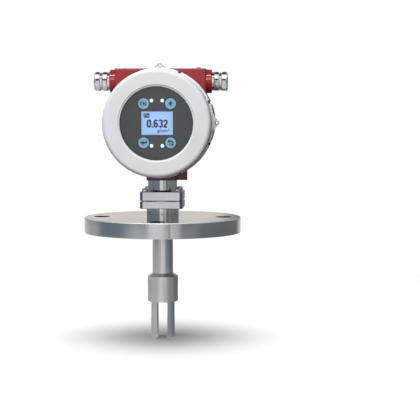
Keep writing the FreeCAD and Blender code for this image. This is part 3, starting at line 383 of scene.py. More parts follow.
def span(first, second):
    """Distance: the root of the sum of two values' squares."""
    total = first * first + second * second
    return total.math("SQRT", total)


def shade(colour):
    """A colour with its alpha, or the wire that gives one."""
    return colour if isinstance(colour, Wire) else (*colour[:3], 1.0)


def dim(colour, *amounts):
    """A colour times one factor, or times one each for its red, green and blue."""
    return tuple(float(value) for value in np.multiply(tuple(colour), amounts))


def board_tones(finish, x, y, boards):
    """Grey by compass heading round the stem, each board tinted by its own blueness."""
    stops = [((heading + 180) / 360, [grey * (1 + blueness * tint) for tint in BLUE_TINT])
             for first, last, grey, blueness in boards for heading in (first, last)]
    heading = x.math("ARCTAN2", x, 0.0 - y)
    return finish.add("ValToRGB", {"stops": stops}, {"Fac": heading / FULL_TURN + 0.5})


def material(name, make):
    """Material of that name, whose shader is what make returns for its tree."""
    made = bpy.data.materials.get(name)
    if made is None:
        made = bpy.data.materials.new(name)
        made.use_nodes = True
        finish = Finish(made.node_tree)
        finish.surface(make(finish))
    return made


def named(name):
    """Turns a function that makes a tree's shader into one that gives the material of that name."""
    return lambda make: lambda: material(name, make)


def principled(finish, **sockets):
    """Principled shader whose sockets are named with underscores."""
    return finish.add("BsdfPrincipled", sockets={name.replace("_", " "): value for name, value in sockets.items()})


# Finishes

@named("turned_steel")
def turned_steel(finish):
    """Stainless steel off the lathe: fine rings by distance from the stem plus height, with faint cloudy tarnish.
    Painted shade makes the drilled holes rough and near black and lays a dark rough band at the upper neck's foot;
    painted highlights brighten a ring round each hole and the flange's broken top edge, which is also rougher."""
    x, y, z = finish.axes()
    reach = span(x, y)
    along = reach + z
    rings = finish.line_noise(along, 2600.0, 3.0)
    bands = finish.line_noise(along, 260.0, 2.0)
    cloud = finish.noise(24.0, 4.0)
    base = colours().steel
    hole = span(abs(x) - BOLT_CIRCLE, y).least(span(abs(y) - BOLT_CIRCLE, x))
    # Painted shade: a dark band at the upper neck's foot, where it meets the plate, stands in for its contact shadow.
    neck_shade = (abs(z - NECK_SHADE_HEIGHT).step(0.9 * MM, 0.5 * MM) * reach.step(21 * MM, 20 * MM)
            * abs(x).step(14 * MM, 9 * MM))
    # Painted highlight: a bright line along the flange's top edge, which is also made rougher.
    edge = reach.step(*RIM_EDGE) * z.step(*TOP_EDGE)
    # Painted shade: the drilled holes' walls and the band at the upper neck's foot are painted near black.
    black = hole.step(*HOLE_WALL).greatest(neck_shade)
    colour = finish.mix(cloud.step(0.35, 0.7), dim(base, 1.04), dim(base, 0.92))
    # Painted highlight: a brighter ring round each hole.
    colour = finish.mix(hole.step(*HOLE_HIGHLIGHT, 0.0, 0.5), colour, dim(base, 1.25))
    colour = finish.mix(edge, colour, (0.68, 0.68, 0.685))
    colour = finish.mix(black, colour, (0.008, 0.008, 0.009))
    return principled(
        finish, Base_Color=colour, Metallic=1.0,
        Roughness=0.05 + rings * 0.05 + bands * 0.03 + cloud * 0.03 + black.greatest(edge) * 0.35,
        Normal=finish.bump(rings, 0.01 * MM, 0.15))


@named("milled_steel")
def milled_steel(finish):
    """Stainless plate: fine straight strokes along X with soft handling marks, and its sides painted dark, a painted
    shade."""
    strokes = finish.noise(1.0, 3.0, stretch=(60.0, 900.0, 2600.0))
    cloud = finish.noise(40.0, 4.0)
    base = colours().steel
    colour = finish.mix(cloud.step(0.3, 0.75), dim(base, 1.0), dim(base, 0.88))
    # Painted shade: the plate's sides are darkened.
    colour = finish.mix(abs(finish.axes()[0]).step(*PLATE_SIDE), colour, dim(base, 0.38, 0.45, 0.48))
    return principled(
        finish, Base_Color=colour, Metallic=1.0, Roughness=0.08 + strokes * 0.08 + cloud * 0.04,
        Normal=finish.bump(strokes, 0.01 * MM, 0.3))


def grained(name, first, second, cloud, grain, rough, relief, band=None, metallic=0.0):
    """Plain stuff: a cloudy noise takes the colour from first to second, in the given band of it if there is one, and
    a noise of its own roughens and raises the grain. A noise is (scale, detail), rough is (least, spread) and relief
    is (height, strength)."""
    def make(finish):
        skin, drift = finish.noise(*grain), finish.noise(*cloud)
        tone = finish.mix(drift.step(*band) if band else drift, first, second)
        return principled(
            finish, Base_Color=tone, Metallic=metallic, Roughness=rough[0] + skin * rough[1],
            Normal=finish.bump(skin, *relief))
    return material(name, make)


def fibre():
    """Pressed fibre sheet: pale grey, speckled."""
    return grained("gasket_fibre", (0.72, 0.72, 0.72), (0.84, 0.84, 0.845), (900.0, 3.0), (900.0, 3.0), (0.6, 0.2),
                   (0.03 * MM, 0.5))


def screw_steel():
    """Zinc plated screws: greyer, with a fine grain."""
    return grained("plated_screws", (0.44, 0.445, 0.45), (0.56, 0.56, 0.565), (260.0, 3.0), (2200.0, 2.0),
                   (0.04, 0.08), (0.02 * MM, 0.4), metallic=1.0)


def rubber():
    """Black rubber: matt, slightly mottled."""
    return grained("seal_rubber", (0.012, 0.012, 0.013), (0.032, 0.032, 0.034), (160.0, 3.0), (1800.0, 3.0),
                   (0.55, 0.25), (0.03 * MM, 0.6))


def moulded(name, colour, gloss):
    """Moulded plastic: spark-eroded grain."""
    return grained(name, dim(colour, 0.85), dim(colour, 1.15), (90.0, 2.0), (1500.0, 3.0), (gloss, 0.15),
                   (0.03 * MM, 0.5))


def ceramic(name, colour):
    """Fired ceramic: dense, faintly speckled."""
    return grained(name, colour, dim(colour, 0.85), (1600.0, 3.0), (1600.0, 3.0), (0.4, 0.15), (0.02 * MM, 0.4),
                   band=(0.4, 0.62))


def enamel(name, colour, rough, peel, coat, shade_radius=None, boss=None):
    """Baked enamel: orange peel, a slow drift of tone and a clear coat. Beyond a given radius round the head it is
    painted greyer, a painted shade. Where the bosses stand out sideways beyond boss their peel is smoothed and their
    red painted brighter and deeper, a painted highlight, and the rear cover's lip is painted nearly black, a painted
    shade."""
    def make(finish):
        skin = finish.noise(520.0, 2.0)
        drift = finish.noise(18.0, 3.0)
        specks = finish.noise(2400.0, 1.0)
        tone = finish.mix(drift.step(0.3, 0.7), dim(colour, 0.96), dim(colour, 1.03))
        x, y, z = finish.head_axes()
        # Painted shade: greyer beyond the given radius round the head, over the ears.
        if shade_radius:
            tone = finish.mix(span(x, z).step(shade_radius, shade_radius + 0.5 * MM), tone, dim(colour, 0.62))
        if boss:
            # Painted highlight: the bosses' red is made brighter and deeper; their orange peel is smoothed too.
            turned = abs(x).step(boss, boss + 0.1 * MM)
            skin = skin * (1 - turned)
            # Painted shade: the rear cover's lip, in the front cover's shadow, is painted nearly black.
            front, back = REAR_LIP
            lip = y.step(front, front + 0.2 * MM) * y.step(back, back - 0.2 * MM)
            tone = finish.mix(turned, tone, dim(colour, 1.1, 0.4, 0.5))
            tone = finish.mix(lip, tone, dim(colour, 0.06))
        return principled(
            finish, Base_Color=tone, Roughness=rough + drift * 0.06 + specks * 0.05, Specular_IOR_Level=0.15,
            Coat_Weight=coat, Coat_Roughness=0.06, Normal=finish.bump(skin, peel, 0.5))
    return material(name, make)


def red_enamel():
    """Glossy red of the housing and the rear cover."""
    return enamel("red_enamel", colours().red, 0.42, 0.03 * MM, 0.6, boss=BOSS_START)


def white_enamel(name="white_enamel", share=1.0, shade_radius=None):
    """Satin white of the front cover, or a darker share of it as painted shade, and painted greyer beyond a given
    radius round the head.
    """
    return enamel(name, dim(colours().white, share), 0.5, 0.02 * MM, 0.08, shade_radius)


@named("nickel_plating")
def nickel(finish):
    """Nickel plated brass: bright, with faint polishing lines and smudges."""
    lines = finish.line_noise(finish.axes()[0], 2400.0, 2.0)
    smudge = finish.noise(180.0, 4.0)
    colour = finish.mix(smudge.step(0.35, 0.7), (0.76, 0.755, 0.74), (0.66, 0.655, 0.64))
    return principled(
        finish, Base_Color=colour, Metallic=1.0, Roughness=0.05 + lines * 0.05 + smudge * 0.04,
        Normal=finish.bump(lines, 0.01 * MM, 0.3))


@named("window_clear")
def clear_glass(finish):
    """Toughened window: clear, with the gloss of its outer face by Fresnel."""
    outer = finish.axes()[1].step(GLASS_FRONT + 1.0 * MM, GLASS_FRONT + 0.5 * MM)
    smear = finish.noise(30.0, 3.0)
    gloss = principled(finish, Base_Color=(1.0, 1.0, 1.0, 1.0), Metallic=1.0, Roughness=0.02 + smear * 0.04)
    clear = finish.add("BsdfTransparent", sockets={"Color": (0.97, 0.98, 0.98, 1.0)})
    return finish.mix_shaders(finish.add("Fresnel", sockets={"IOR": 1.55}) * outer, clear, gloss)


@named("machined_alloy")
def machined_aluminium(finish):
    """Bare machined aluminium: rings round the barrel's axis."""
    x, y, z = finish.head_axes()
    rings = finish.line_noise(span(x, z) + y, 1800.0, 3.0)
    colour = finish.mix(finish.noise(60.0, 3.0), (0.60, 0.61, 0.62), (0.72, 0.72, 0.73))
    return principled(
        finish, Base_Color=colour, Metallic=1.0, Roughness=0.28 + rings * 0.16,
        Normal=finish.bump(rings, 0.02 * MM, 0.5))


@named("panel_foil")
def panel_foil(finish):
    """Printed foil of the display panel: fine grain, a slightly paler middle."""
    grain = finish.noise(2600.0, 2.0)
    x, y, z = finish.head_axes()
    base = colours().panel
    tone = finish.mix(span(x, z).step(0.0, PANEL_RADIUS), dim(base, 1.08), dim(base, 0.92))
    speck = finish.mix(grain.step(0.35, 0.65), tone, dim(base, 1.25))
    return principled(
        finish, Base_Color=finish.mix(0.35, tone, speck), Roughness=0.48 + grain * 0.16,
        Normal=finish.bump(grain, 0.02 * MM, 0.5))


@named("lit_screen")
def lit_screen(finish):
    """Back-lit display: rows and columns of dots over a glow that falls off towards the edges."""
    x, y, z = finish.head_axes()
    dots = (x * (FULL_TURN / SCREEN_DOT)).sine() * (z * (FULL_TURN / SCREEN_DOT)).sine()
    edge = (abs(x) / SCREEN_HALF[0]).greatest(abs(z) / SCREEN_HALF[1])
    base = colours().screen
    glow = finish.mix(edge.step(0.55, 1.0), dim(base, 1.02), dim(base, 0.88))
    light = finish.mix(dots.step(-1.0, 1.0, 0.0, 0.12), glow, dim(base, 0.7))
    return principled(
        finish, Base_Color=(0.10, 0.14, 0.20, 1.0), Roughness=0.35, Emission_Color=light, Emission_Strength=0.95)


@named("key_window")
def key_window(finish):
    """Touch key window: sky blue print with a paler rim and fine grain, and a faint glow of painted light."""
    x, y, z = finish.head_axes()
    reach = span(abs(x) - KEY_PLACE[0], abs(z) - KEY_PLACE[1])
    grain = finish.noise(2000.0, 2.0)
    cloud = finish.noise(420.0, 2.0)
    base = colours().key
    tone = finish.mix(reach.step(3.6 * MM, 5.2 * MM), dim(base, 0.92), dim(base, 1.12))
    tone = finish.mix(cloud.step(0.35, 0.7, 0.0, 0.3), tone, dim(base, 1.3))
    tone = finish.mix(grain.step(0.3, 0.7, 0.0, 0.12), tone, dim(base, 1.3))
    # Painted light: the print's tone is also given off as a faint glow.
    return principled(
        finish, Base_Color=tone, Roughness=0.4 + grain * 0.1, Emission_Color=tone, Emission_Strength=0.2)


@named("lamp_lens")
def lamp_lens(finish):
    """Status lamp: white core that turns green at the rim, more on its right."""
    x, y, z = finish.head_axes()
    across = x - x.step(-1.0 * MM, 1.0 * MM, -LED_PLACE[0], LED_PLACE[0]) + 0.7 * MM
    reach = span(across, abs(z) - LED_PLACE[1])
    tone = finish.mix(reach.step(1.5 * MM, 2.3 * MM), (1.0, 1.0, 1.0), (0.05, 0.55, 0.18))
    return principled(finish, Base_Color=tone, Roughness=0.2, Emission_Color=tone, Emission_Strength=0.75)


def ink(name, colour):
    """Printed mark: ink of slightly uneven cover."""
    def make(finish):
        cover = finish.noise(1500.0, 2.0)
        tone = finish.mix(cover, dim(colour, 0.8), dim(colour, 1.25))
        return principled(finish, Base_Color=tone, Roughness=0.5 + cover * 0.1)
    return material(name, make)


@named("board_mask")
def circuit_board(finish):
    """Circuit board: green mask with paler tracks on a square raster."""
    cells = finish.add("TexVoronoi", {"distance": "MANHATTAN", "feature": "F1"}, {
        "Vector": finish.place(), "Scale": 260.0})
    tracks = cells.step(0.32, 0.36)
    weave = finish.noise(1400.0, 2.0)
    tone = finish.mix(tracks, (0.008, 0.075, 0.030), (0.018, 0.125, 0.055))
    return principled(
        finish, Base_Color=tone, Roughness=0.3 + weave * 0.15, Normal=finish.bump(tracks, 0.03 * MM, 0.6))


@named("spacer_brass")
def brass(finish):
    """Brass spacers: fine lengthwise marks."""
    lines = finish.line_noise(finish.axes()[1], 2000.0, 2.0)
    tone = finish.mix(lines, (0.62, 0.44, 0.18), (0.74, 0.55, 0.25))
    return principled(
        finish, Base_Color=tone, Metallic=1.0, Roughness=0.22 + lines * 0.14,
        Normal=finish.bump(lines, 0.02 * MM, 0.5))


SLOT_FINISHES = {
    "stainless_steel": turned_steel,
    "screw_steel": screw_steel,
    "red_paint": red_enamel,
    # The front cover is painted greyer beyond the skirt, a painted shade on its ears.
    "white_paint": lambda: white_enamel(shade_radius=SKIRT_RADIUS),
    "nickel_plate": nickel,
    "black_rubber": rubber,
    "window_glass": clear_glass,
    "machined_aluminium": machined_aluminium,
    "panel_grey": panel_foil,
    "display_blue": lit_screen,
    "key_blue": key_window,
    "lamp_white": lamp_lens,
    "circuit_board": circuit_board,
    "spacer_brass": brass,
    "black_plastic": lambda: moulded("black_plastic", (0.02, 0.02, 0.022), 0.4),
    "terminal_plastic": lambda: moulded("terminal_plastic", (0.05, 0.16, 0.06), 0.42),
    "cable_sheath": lambda: moulded("cable_sheath", (0.09, 0.09, 0.095), 0.5),
    "piezo_ceramic": lambda: ceramic("piezo_ceramic", (0.55, 0.50, 0.40)),
    "insulator_ceramic": lambda: ceramic("insulator_ceramic", (0.78, 0.76, 0.70)),
}
NODE_FINISHES = {"lower_square_flange": milled_steel, "upper_square_flange": milled_steel, "flange_gasket": fibre}


# Surfaces

def angles(steps):
    """Even angles round one turn, from 0."""
    return np.arange(steps) * FULL_TURN / steps


def grid_faces(rows, columns, wrap_rows, wrap_columns):
    """Quads between neighbouring points of a grid, closed across either edge where asked."""
    row = np.arange(rows if wrap_rows else rows - 1)[:, None]
    column = np.arange(columns if wrap_columns else columns - 1)[None, :]
    below, beside = (row + 1) % rows, (column + 1) % columns
    quads = np.stack([row * columns + column, row * columns + beside, below * columns + beside,
                      below * columns + column], axis=-1)
    return quads.reshape(-1, 4)


def ring_stack(rings, start, axis, across, steps, loop=False):
    """Surface through a stack of rings. The point of ring i at angle t is start + axis h(t) + r(t) (across cos t +
    (axis x across) sin t), where r and h are each a number or one number for each angle."""
    angle = angles(steps)
    axis, across = np.asarray(axis, float), np.asarray(across, float)
    side = np.cross(axis, across)
    radius = np.stack([np.broadcast_to(ring[0], steps) for ring in rings])
    height = np.stack([np.broadcast_to(ring[1], steps) for ring in rings])
    spoke = np.cos(angle)[:, None] * across + np.sin(angle)[:, None] * side
    points = np.asarray(start) + height[:, :, None] * axis + radius[:, :, None] * spoke
    return points.reshape(-1, 3), grid_faces(len(rings), steps, loop, True)


def hoop(reach, thick, tall, centre, rounds, steps):
    """Closed ring about an axis along Y: the ring at angle t of its section has radius reach + thick cos t and stands
    tall sin t behind the centre."""
    rings = [(reach + thick * math.cos(t), tall * math.sin(t)) for t in angles(rounds)]
    return ring_stack(rings, centre, Y_AXIS, Z_AXIS, steps, loop=True)


def sweep(path, profile_across, profile_up, sides, ups, closed=False):
    """Closed profile carried along a path: point (i, j) is path i plus across j times side i plus up j times up i.
    The ends are closed by one face each, unless the path itself closes."""
    points = (path[:, None, :] + profile_across[..., None] * sides[:, None, :]
              + profile_up[..., None] * ups[:, None, :])
    rows, columns = points.shape[:2]
    faces = grid_faces(rows, columns, closed, True).tolist()
    if not closed:
        faces.append(list(range(columns))[::-1])
        faces.append(list(range((rows - 1) * columns, rows * columns)))
    return points.reshape(-1, 3), faces


def join(*shapes):
    """Several (points, faces) shapes as one."""
    points, faces, count = [], [], 0
    for shape_points, shape_faces in shapes:
        points.append(shape_points)
        faces.extend([[corner + count for corner in face] for face in np.asarray(shape_faces, object).tolist()])
        count += len(shape_points)
    return np.concatenate(points), faces


def add_object(name, data):
    """Object of some data, in the scene."""
    made = bpy.data.objects.new(name, data)
    bpy.context.scene.collection.objects.link(made)
    return made


def piece(name, shape, body, finish, stands_for=()):
    """Object of a shape: doubles merged, faces turned outwards, smooth but for sharp edges, riding on its body."""
    points, faces = shape
    mesh = bpy.data.meshes.new(name)
    mesh.from_pydata(np.asarray(points, float).tolist(), [], [list(face) for face in faces])
    work = bmesh.new()
    work.from_mesh(mesh)
    bmesh.ops.remove_doubles(work, verts=work.verts, dist=MERGE_DISTANCE)
    bmesh.ops.recalc_face_normals(work, faces=work.faces)
    work.to_mesh(mesh)
    work.free()
    mesh.shade_smooth()
    mesh.set_sharp_from_angle(angle=SHARP_ANGLE)
    mesh.materials.append(finish)
    made = add_object(name, mesh)
    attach(made, body)
    if stands_for:
        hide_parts(*stands_for)


def hexagon_radius(flats, steps):
    """Radius of a hexagon at each angle: half its width over flats divided by the cosine of the angle to the nearest
    flat's middle, the first of which is at angle 0."""
    sixth = FULL_TURN / 6
    return flats / 2 / np.cos((angles(steps) + sixth / 2) % sixth - sixth / 2)


def helix(radius, pitch, depth, start, axis, across, length):
    """Thread ridge: a triangle pitch x 0.8 wide and depth high, carried along a right-hand helix of that radius. The
    path's point at angle t is start + axis pitch t / 2 pi + radius (across cos t + (axis x across) sin t), and the
    ridge runs out to nothing over the last half turn at both ends."""
    points_a_turn, half_width = 72, 0.4 * pitch
    axis, across = np.asarray(axis, float), np.asarray(across, float)
    angle = np.linspace(0, FULL_TURN * length / pitch, int(points_a_turn * length / pitch))
    out = np.cos(angle)[:, None] * across + np.sin(angle)[:, None] * np.cross(axis, across)
    path = np.asarray(start) + np.outer(angle * pitch / FULL_TURN, axis) + radius * out
    fade = np.clip(np.minimum(angle, angle[-1] - angle) / (FULL_TURN / 2), 0.02, 1.0)
    across_profile = np.outer(fade, [-half_width, 0.0, half_width])
    up_profile = np.outer(fade, [0.0, depth, 0.0])
    return sweep(path, across_profile, up_profile, np.tile(axis, (len(angle), 1)), out)


def plaque(outline, depth):
    """Flat mark of an outline (x, up) with a front and a back face depth apart, joined by a wall."""
    flat = np.asarray(outline, float)
    count = len(flat)
    points = np.concatenate([np.column_stack([flat, np.full(count, -depth / 2)]),
                             np.column_stack([flat, np.full(count, depth / 2)])])
    faces = grid_faces(2, count, False, True).tolist()
    return points, [*faces, list(range(count))[::-1], list(range(count, 2 * count))]


def pen(path, width, depth, closed=False):
    """Flat pen line: a rectangle width across and depth thick, carried along a path (x, up) with its width square to
    the path's own direction."""
    path = np.asarray(path, float)
    if closed:
        heading = np.roll(path, -1, axis=0) - np.roll(path, 1, axis=0)
    else:
        heading = np.gradient(path, axis=0)
    heading /= np.linalg.norm(heading, axis=1)[:, None]
    sides = np.column_stack([-heading[:, 1], heading[:, 0], np.zeros(len(path))])
    ups = np.tile((0.0, 0.0, 1.0), (len(path), 1))
    side, rise = width / 2, depth / 2
    return sweep(np.column_stack([path, np.zeros(len(path))]), np.array([-side, side, side, -side]),
                 np.array([-rise, -rise, rise, rise]), sides, ups, closed)


def bow(x, up, across, rise, start, stop, count=24):
    """Points of an ellipse's arc about (x, up), between two angles in degrees."""
    angle = np.radians(np.linspace(start, stop, count))
    return np.column_stack([x + across * np.cos(angle), up + rise * np.sin(angle)])


def run(*corners):
    """Points along straight lines from corner to corner, close together so that a pen turns sharply at each."""
    corners = np.asarray(corners, float)
    share = np.array([0.0, 0.04, 0.5, 0.96])[:, None]
    legs = [start + (stop - start) * share for start, stop in zip(corners[:-1], corners[1:])]
    return np.concatenate([*legs, corners[-1:]])


def moved(outline, x, up, turn=0.0):
    """An outline turned to the left by an angle and shifted."""
    flat = np.asarray(outline, float)
    cosine, sine = math.cos(turn), math.sin(turn)
    return flat @ np.array([[cosine, sine], [-sine, cosine]]) + (x, up)


def rectangle(width, height):
    """Corners of a rectangle about the origin."""
    across, up = width / 2, height / 2
    return np.array([(-across, -up), (across, -up), (across, up), (-across, up)])


# Pen paths of the figures and letters, in a cell one unit wide and two high about its middle
PEN_PATHS = {
    "0": [np.concatenate([bow(0, 0.42, 0.5, 0.58, 0, 180), bow(0, -0.42, 0.5, 0.58, 180, 360)])],
    "6": [np.concatenate([bow(0, 0.45, 0.5, 0.55, 25, 180), bow(0, -0.45, 0.5, 0.55, 180, 535, 40)])],
    "3": [np.concatenate([bow(0, 0.5, 0.47, 0.5, 155, -80), bow(0, -0.48, 0.5, 0.52, 80, -155)])],
    "2": [np.concatenate([bow(0, 0.45, 0.5, 0.55, 165, -25), run((-0.46, -0.92), (-0.44, -0.98), (0.55, -1.0))])],
    "E": [run((0.5, 1.0), (-0.5, 1.0), (-0.5, -1.0), (0.5, -1.0)), run((-0.5, 0.0), (0.4, 0.0))],
    "S": [np.concatenate([bow(0, 0.5, 0.5, 0.5, 25, 265), bow(0, -0.5, 0.5, 0.5, 85, -155)])],
    "C": [bow(0, 0, 0.55, 1.0, 48, 312)],
}
CLOSED_PATHS = "0"


def lettering(places, across, rise, width, depth):
    """Pen-drawn figures or letters in a row, each as (sign, x), with its cell stretched to across and rise."""
    return join(*[pen(path * (across, rise) + (x, 0.0), width, depth, sign in CLOSED_PATHS)
                  for sign, x in places for path in PEN_PATHS[sign]])


def text_shape(body, width, height, weight, depth):
    """Flat lettering of a given width and height, centred, as points (x, up, depth) and faces."""
    curve = bpy.data.curves.new("lettering", "FONT")
    curve.body = body
    curve.align_x = "CENTER"
    curve.align_y = "CENTER"
    curve.offset = weight
    curve.extrude = 0.5
    carrier = add_object("lettering", curve)
    bpy.context.view_layer.update()
    mesh = bpy.data.meshes.new_from_object(carrier.evaluated_get(bpy.context.evaluated_depsgraph_get()))
    points = np.empty(len(mesh.vertices) * 3)
    mesh.vertices.foreach_get("co", points)
    points = points.reshape(-1, 3)
    faces = [list(polygon.vertices) for polygon in mesh.polygons]
    low, high = points.min(0), points.max(0)
    points = (points - (low + high) / 2) * (width / (high[0] - low[0]), height / (high[1] - low[1]), depth)
    bpy.data.objects.remove(carrier)
    bpy.data.curves.remove(curve)
    bpy.data.meshes.remove(mesh)
    return points, faces


def on_face(shape, x, up, front):
    """A flat shape stood on the display: its x to the right, its y up, its back just inside the face at front."""
    points, faces = shape
    standing = np.stack([points[:, 0] + x, front - points[:, 2], points[:, 1] + up + HEAD_HEIGHT], axis=1)
    return standing, faces


# Operators

class METER_OT_finishes(bpy.types.Operator):
    """Gives each carried-over node its finish"""

    bl_idname = "meter.finishes"
    bl_label = "Finishes"

    def execute(self, context):
        for name, node in frame["nodes"].items():
            slots = [entry.material.name.split(".")[0] for entry in node.material_slots]
            for entry, slot in zip(node.material_slots, slots):
                entry.material = NODE_FINISHES.get(name, SLOT_FINISHES[slot])()
        return {"FINISHED"}


# A gland from its inner end outwards: shank, round collar, spanner hexagon and neck, and the nut on the neck
GLAND_STEPS = 240
SHANK_RADIUS, SHANK_END = 9.95 * MM, 10.0 * MM
COLLAR_RADIUS, COLLAR_END = 10.8 * MM, 13.0 * MM
HEXAGON_LEAD, HEXAGON_END = 10.6 * MM, 18.7 * MM
HEXAGON_BEVEL = math.tan(math.radians(30))
HEXAGON_ROUND = 0.522
NECK_RIDGE = 0.26 * MM
RELIEF_RADIUS, RELIEF_END = 10.3 * MM, 2.0 * MM
NUT_ROUND, NUT_HOLE, NUT_HOLE_LIP = 3.6 * MM, 5.7 * MM, 0.6 * MM
NUT_CLEARANCE, NUT_WALL = 0.35 * MM, 3.2 * MM
BRIGHT_PIECES = ("gland_shell_left", "gland_shell_right", "gland_dome_left", "gland_dome_right")


class METER_OT_glands(bpy.types.Operator):
    """Makes the cable glands: crowned hexagons with turned-off corners, and the thread between them"""

    bl_idname = "meter.glands"
    bl_label = "Cable glands"

    def execute(self, context):
        for side, sign in (("left", -1), ("right", 1)):
            neck = half("gland_ring_" + side, 2)
            self.make_shell(side, np.array([sign, 0, 0]), neck)
            self.make_dome(side, np.array([sign, 0, 0]), neck)
        return {"FINISHED"}

    @staticmethod
    def inner_end(node, axis):
        """Middle of the end that a node has against the axis, and the node's length along it."""
        reach = half(node, 0)
        return middle(node) - reach * axis, 2 * reach

    @staticmethod
    def spanner_rings(first, last, lead, tail=None):
        """Rings of a spanner hexagon with crowned flats: its radius is a mix of the hexagon and a round, and at each
        height h no more than a cone that opens by 30 degrees from the radius lead at either end, or than a quarter
        round of radius tail at the far end."""
        flats, crown = sizes().gland_flats, sizes().gland_crown
        outline = (1 - crown) * hexagon_radius(flats, GLAND_STEPS) + crown * flats * HEXAGON_ROUND
        corner = outline.max()
        rings = [(np.minimum(outline, lead + h / HEXAGON_BEVEL), first + h)
                 for h in np.linspace(0, (corner - lead) * HEXAGON_BEVEL, 9)]
        if tail is None:
            return rings + [(ring, first + last - height) for ring, height in reversed(rings)]
        return rings + [(np.minimum(outline, corner - tail * (1 - np.cos(t))), last - tail * (1 - np.sin(t)))
                        for t in np.linspace(0, FULL_TURN / 4, 13)]

    def make_shell(self, side, axis, neck):
        """Body that stays in the housing, with the neck's thread."""
        node = "gland_body_" + side
        start, length = self.inner_end(node, axis)
        bore = half("gland_seal_" + side, 2)
        rings = [(bore, 0.0), (SHANK_RADIUS, 0.0), (SHANK_RADIUS, SHANK_END), (COLLAR_RADIUS - 0.4 * MM, SHANK_END),
                 (COLLAR_RADIUS, SHANK_END + 0.4 * MM), (COLLAR_RADIUS, COLLAR_END - 0.5 * MM),
                 (COLLAR_RADIUS - 0.6 * MM, COLLAR_END - 0.1 * MM),
                 *self.spanner_rings(COLLAR_END, HEXAGON_END, HEXAGON_LEAD), (neck, HEXAGON_END),
                 (neck, length - 0.5 * MM), (neck - 0.5 * MM, length), (bore, length)]
        body = ring_stack(rings, start, axis, Z_AXIS, GLAND_STEPS, loop=True)
        ridge = helix(neck - 0.02 * MM, sizes().gland_pitch, NECK_RIDGE, start + axis * (HEXAGON_END + 0.2 * MM),
                      axis, Z_AXIS, length - HEXAGON_END - 0.9 * MM)
        piece("gland_shell_" + side, join(body, ridge), "meter", nickel(), [node])

    def make_dome(self, side, axis, neck):
        """Dome nut that turns on the neck."""
        node = "gland_nut_" + side
        start, length = self.inner_end(node, axis)
        mouth, floor = neck + NUT_CLEARANCE, length - NUT_WALL
        rings = [(mouth, 0.0), (RELIEF_RADIUS - 0.2 * MM, 0.0), (RELIEF_RADIUS, 0.2 * MM),
                 (RELIEF_RADIUS, RELIEF_END), *self.spanner_rings(RELIEF_END, length, RELIEF_RADIUS, NUT_ROUND),
                 (NUT_HOLE + NUT_HOLE_LIP, length), (NUT_HOLE, length - NUT_HOLE_LIP), (NUT_HOLE, floor),
                 (mouth, floor)]
        piece("gland_dome_" + side, ring_stack(rings, start, axis, Z_AXIS, GLAND_STEPS, loop=True),
              side + "_gland_nut", nickel(), [node])


# The ears' holes from the head's axis, one flank of their outline from the hole, and the round at its crown
EAR_REACH, EAR_CROWN = 65.6 * MM, 3.0 * MM
EAR_FLANK = np.array([(10.5, -5.6), (9.6, -4.2), (2.6, 1.5)]) * MM
# Each ear's piece, paint, share of the cover's white (below one, a painted shade), turn from the top, hole radius,
# front and back
EARS = (("ear_web", "ear_enamel", 0.88, FULL_TURN / 4, 1.9 * MM, -55.8 * MM, -40.9 * MM),
        ("ear_gusset", "top_ear_enamel", 0.62, 0.0, 1.3 * MM, -41.1 * MM, -36.9 * MM))


class METER_OT_ears(bpy.types.Operator):
    """Makes the right seal ear's web over the skirt's face and the top ear's straight flanks"""

    bl_idname = "meter.ears"
    bl_label = "Seal ears"

    def execute(self, context):
        for name, paint, share, turn, drill, front, back in EARS:
            piece(name, self.web(turn, drill, front, back), "front_cover", white_enamel(paint, share))
        return {"FINISHED"}

    @staticmethod
    def web(turn, drill, front, back):
        """Drilled plate: four rings, the outline at the front and at the back and the hole at the back and at the
        front. The hole's point lies on the line from the hole's middle to the outline's point of the same number."""
        crown = bow(0.0, 0.0, EAR_CROWN, EAR_CROWN, 30, 150, 40)
        mirrored = EAR_FLANK[::-1] * (-1, 1)
        foot = run(mirrored[-1], EAR_FLANK[0])[1:-1]
        outline = np.concatenate([run(*EAR_FLANK), crown, run(*mirrored), foot])
        circle = drill * outline / np.linalg.norm(outline, axis=1)[:, None]
        rings = [moved(ring + (0.0, EAR_REACH), 0.0, 0.0, -turn) for ring in (outline, outline, circle, circle)]
        rows = [np.column_stack([ring[:, 0], np.full(len(ring), depth), ring[:, 1] + HEAD_HEIGHT])
                for ring, depth in zip(rings, (front, back, back, front))]
        return np.concatenate(rows), grid_faces(4, len(outline), True, True)


class METER_OT_threads(bpy.types.Operator):
    """Makes the threads on the housing's mouths and the round ring seals of the covers"""

    bl_idname = "meter.threads"
    bl_label = "Cover threads and seals"

    front_end, rear_start = -38.6 * MM, 38.0 * MM

    def execute(self, context):
        size = sizes()
        low, high = ends("housing_body")
        for name, first, last in (("front", low[1] + 0.6 * MM, self.front_end),
                                  ("rear", self.rear_start, high[1] - 0.4 * MM)):
            ridge = helix(size.cover_thread_radius - 0.02 * MM, size.cover_pitch, size.cover_thread_depth,
                          (0, first, HEAD_HEIGHT), Y_AXIS, Z_AXIS, last - first)
            piece(name + "_mouth_thread", ridge, "meter", machined_aluminium())
            node = name + "_cover_o_ring"
            section = half(node, 1)
            seal = hoop(half(node, 0) - section, section, section, middle(node), 24, 180)
            piece(name + "_ring_seal", seal, name + "_seal", rubber(), [node])
        return {"FINISHED"}


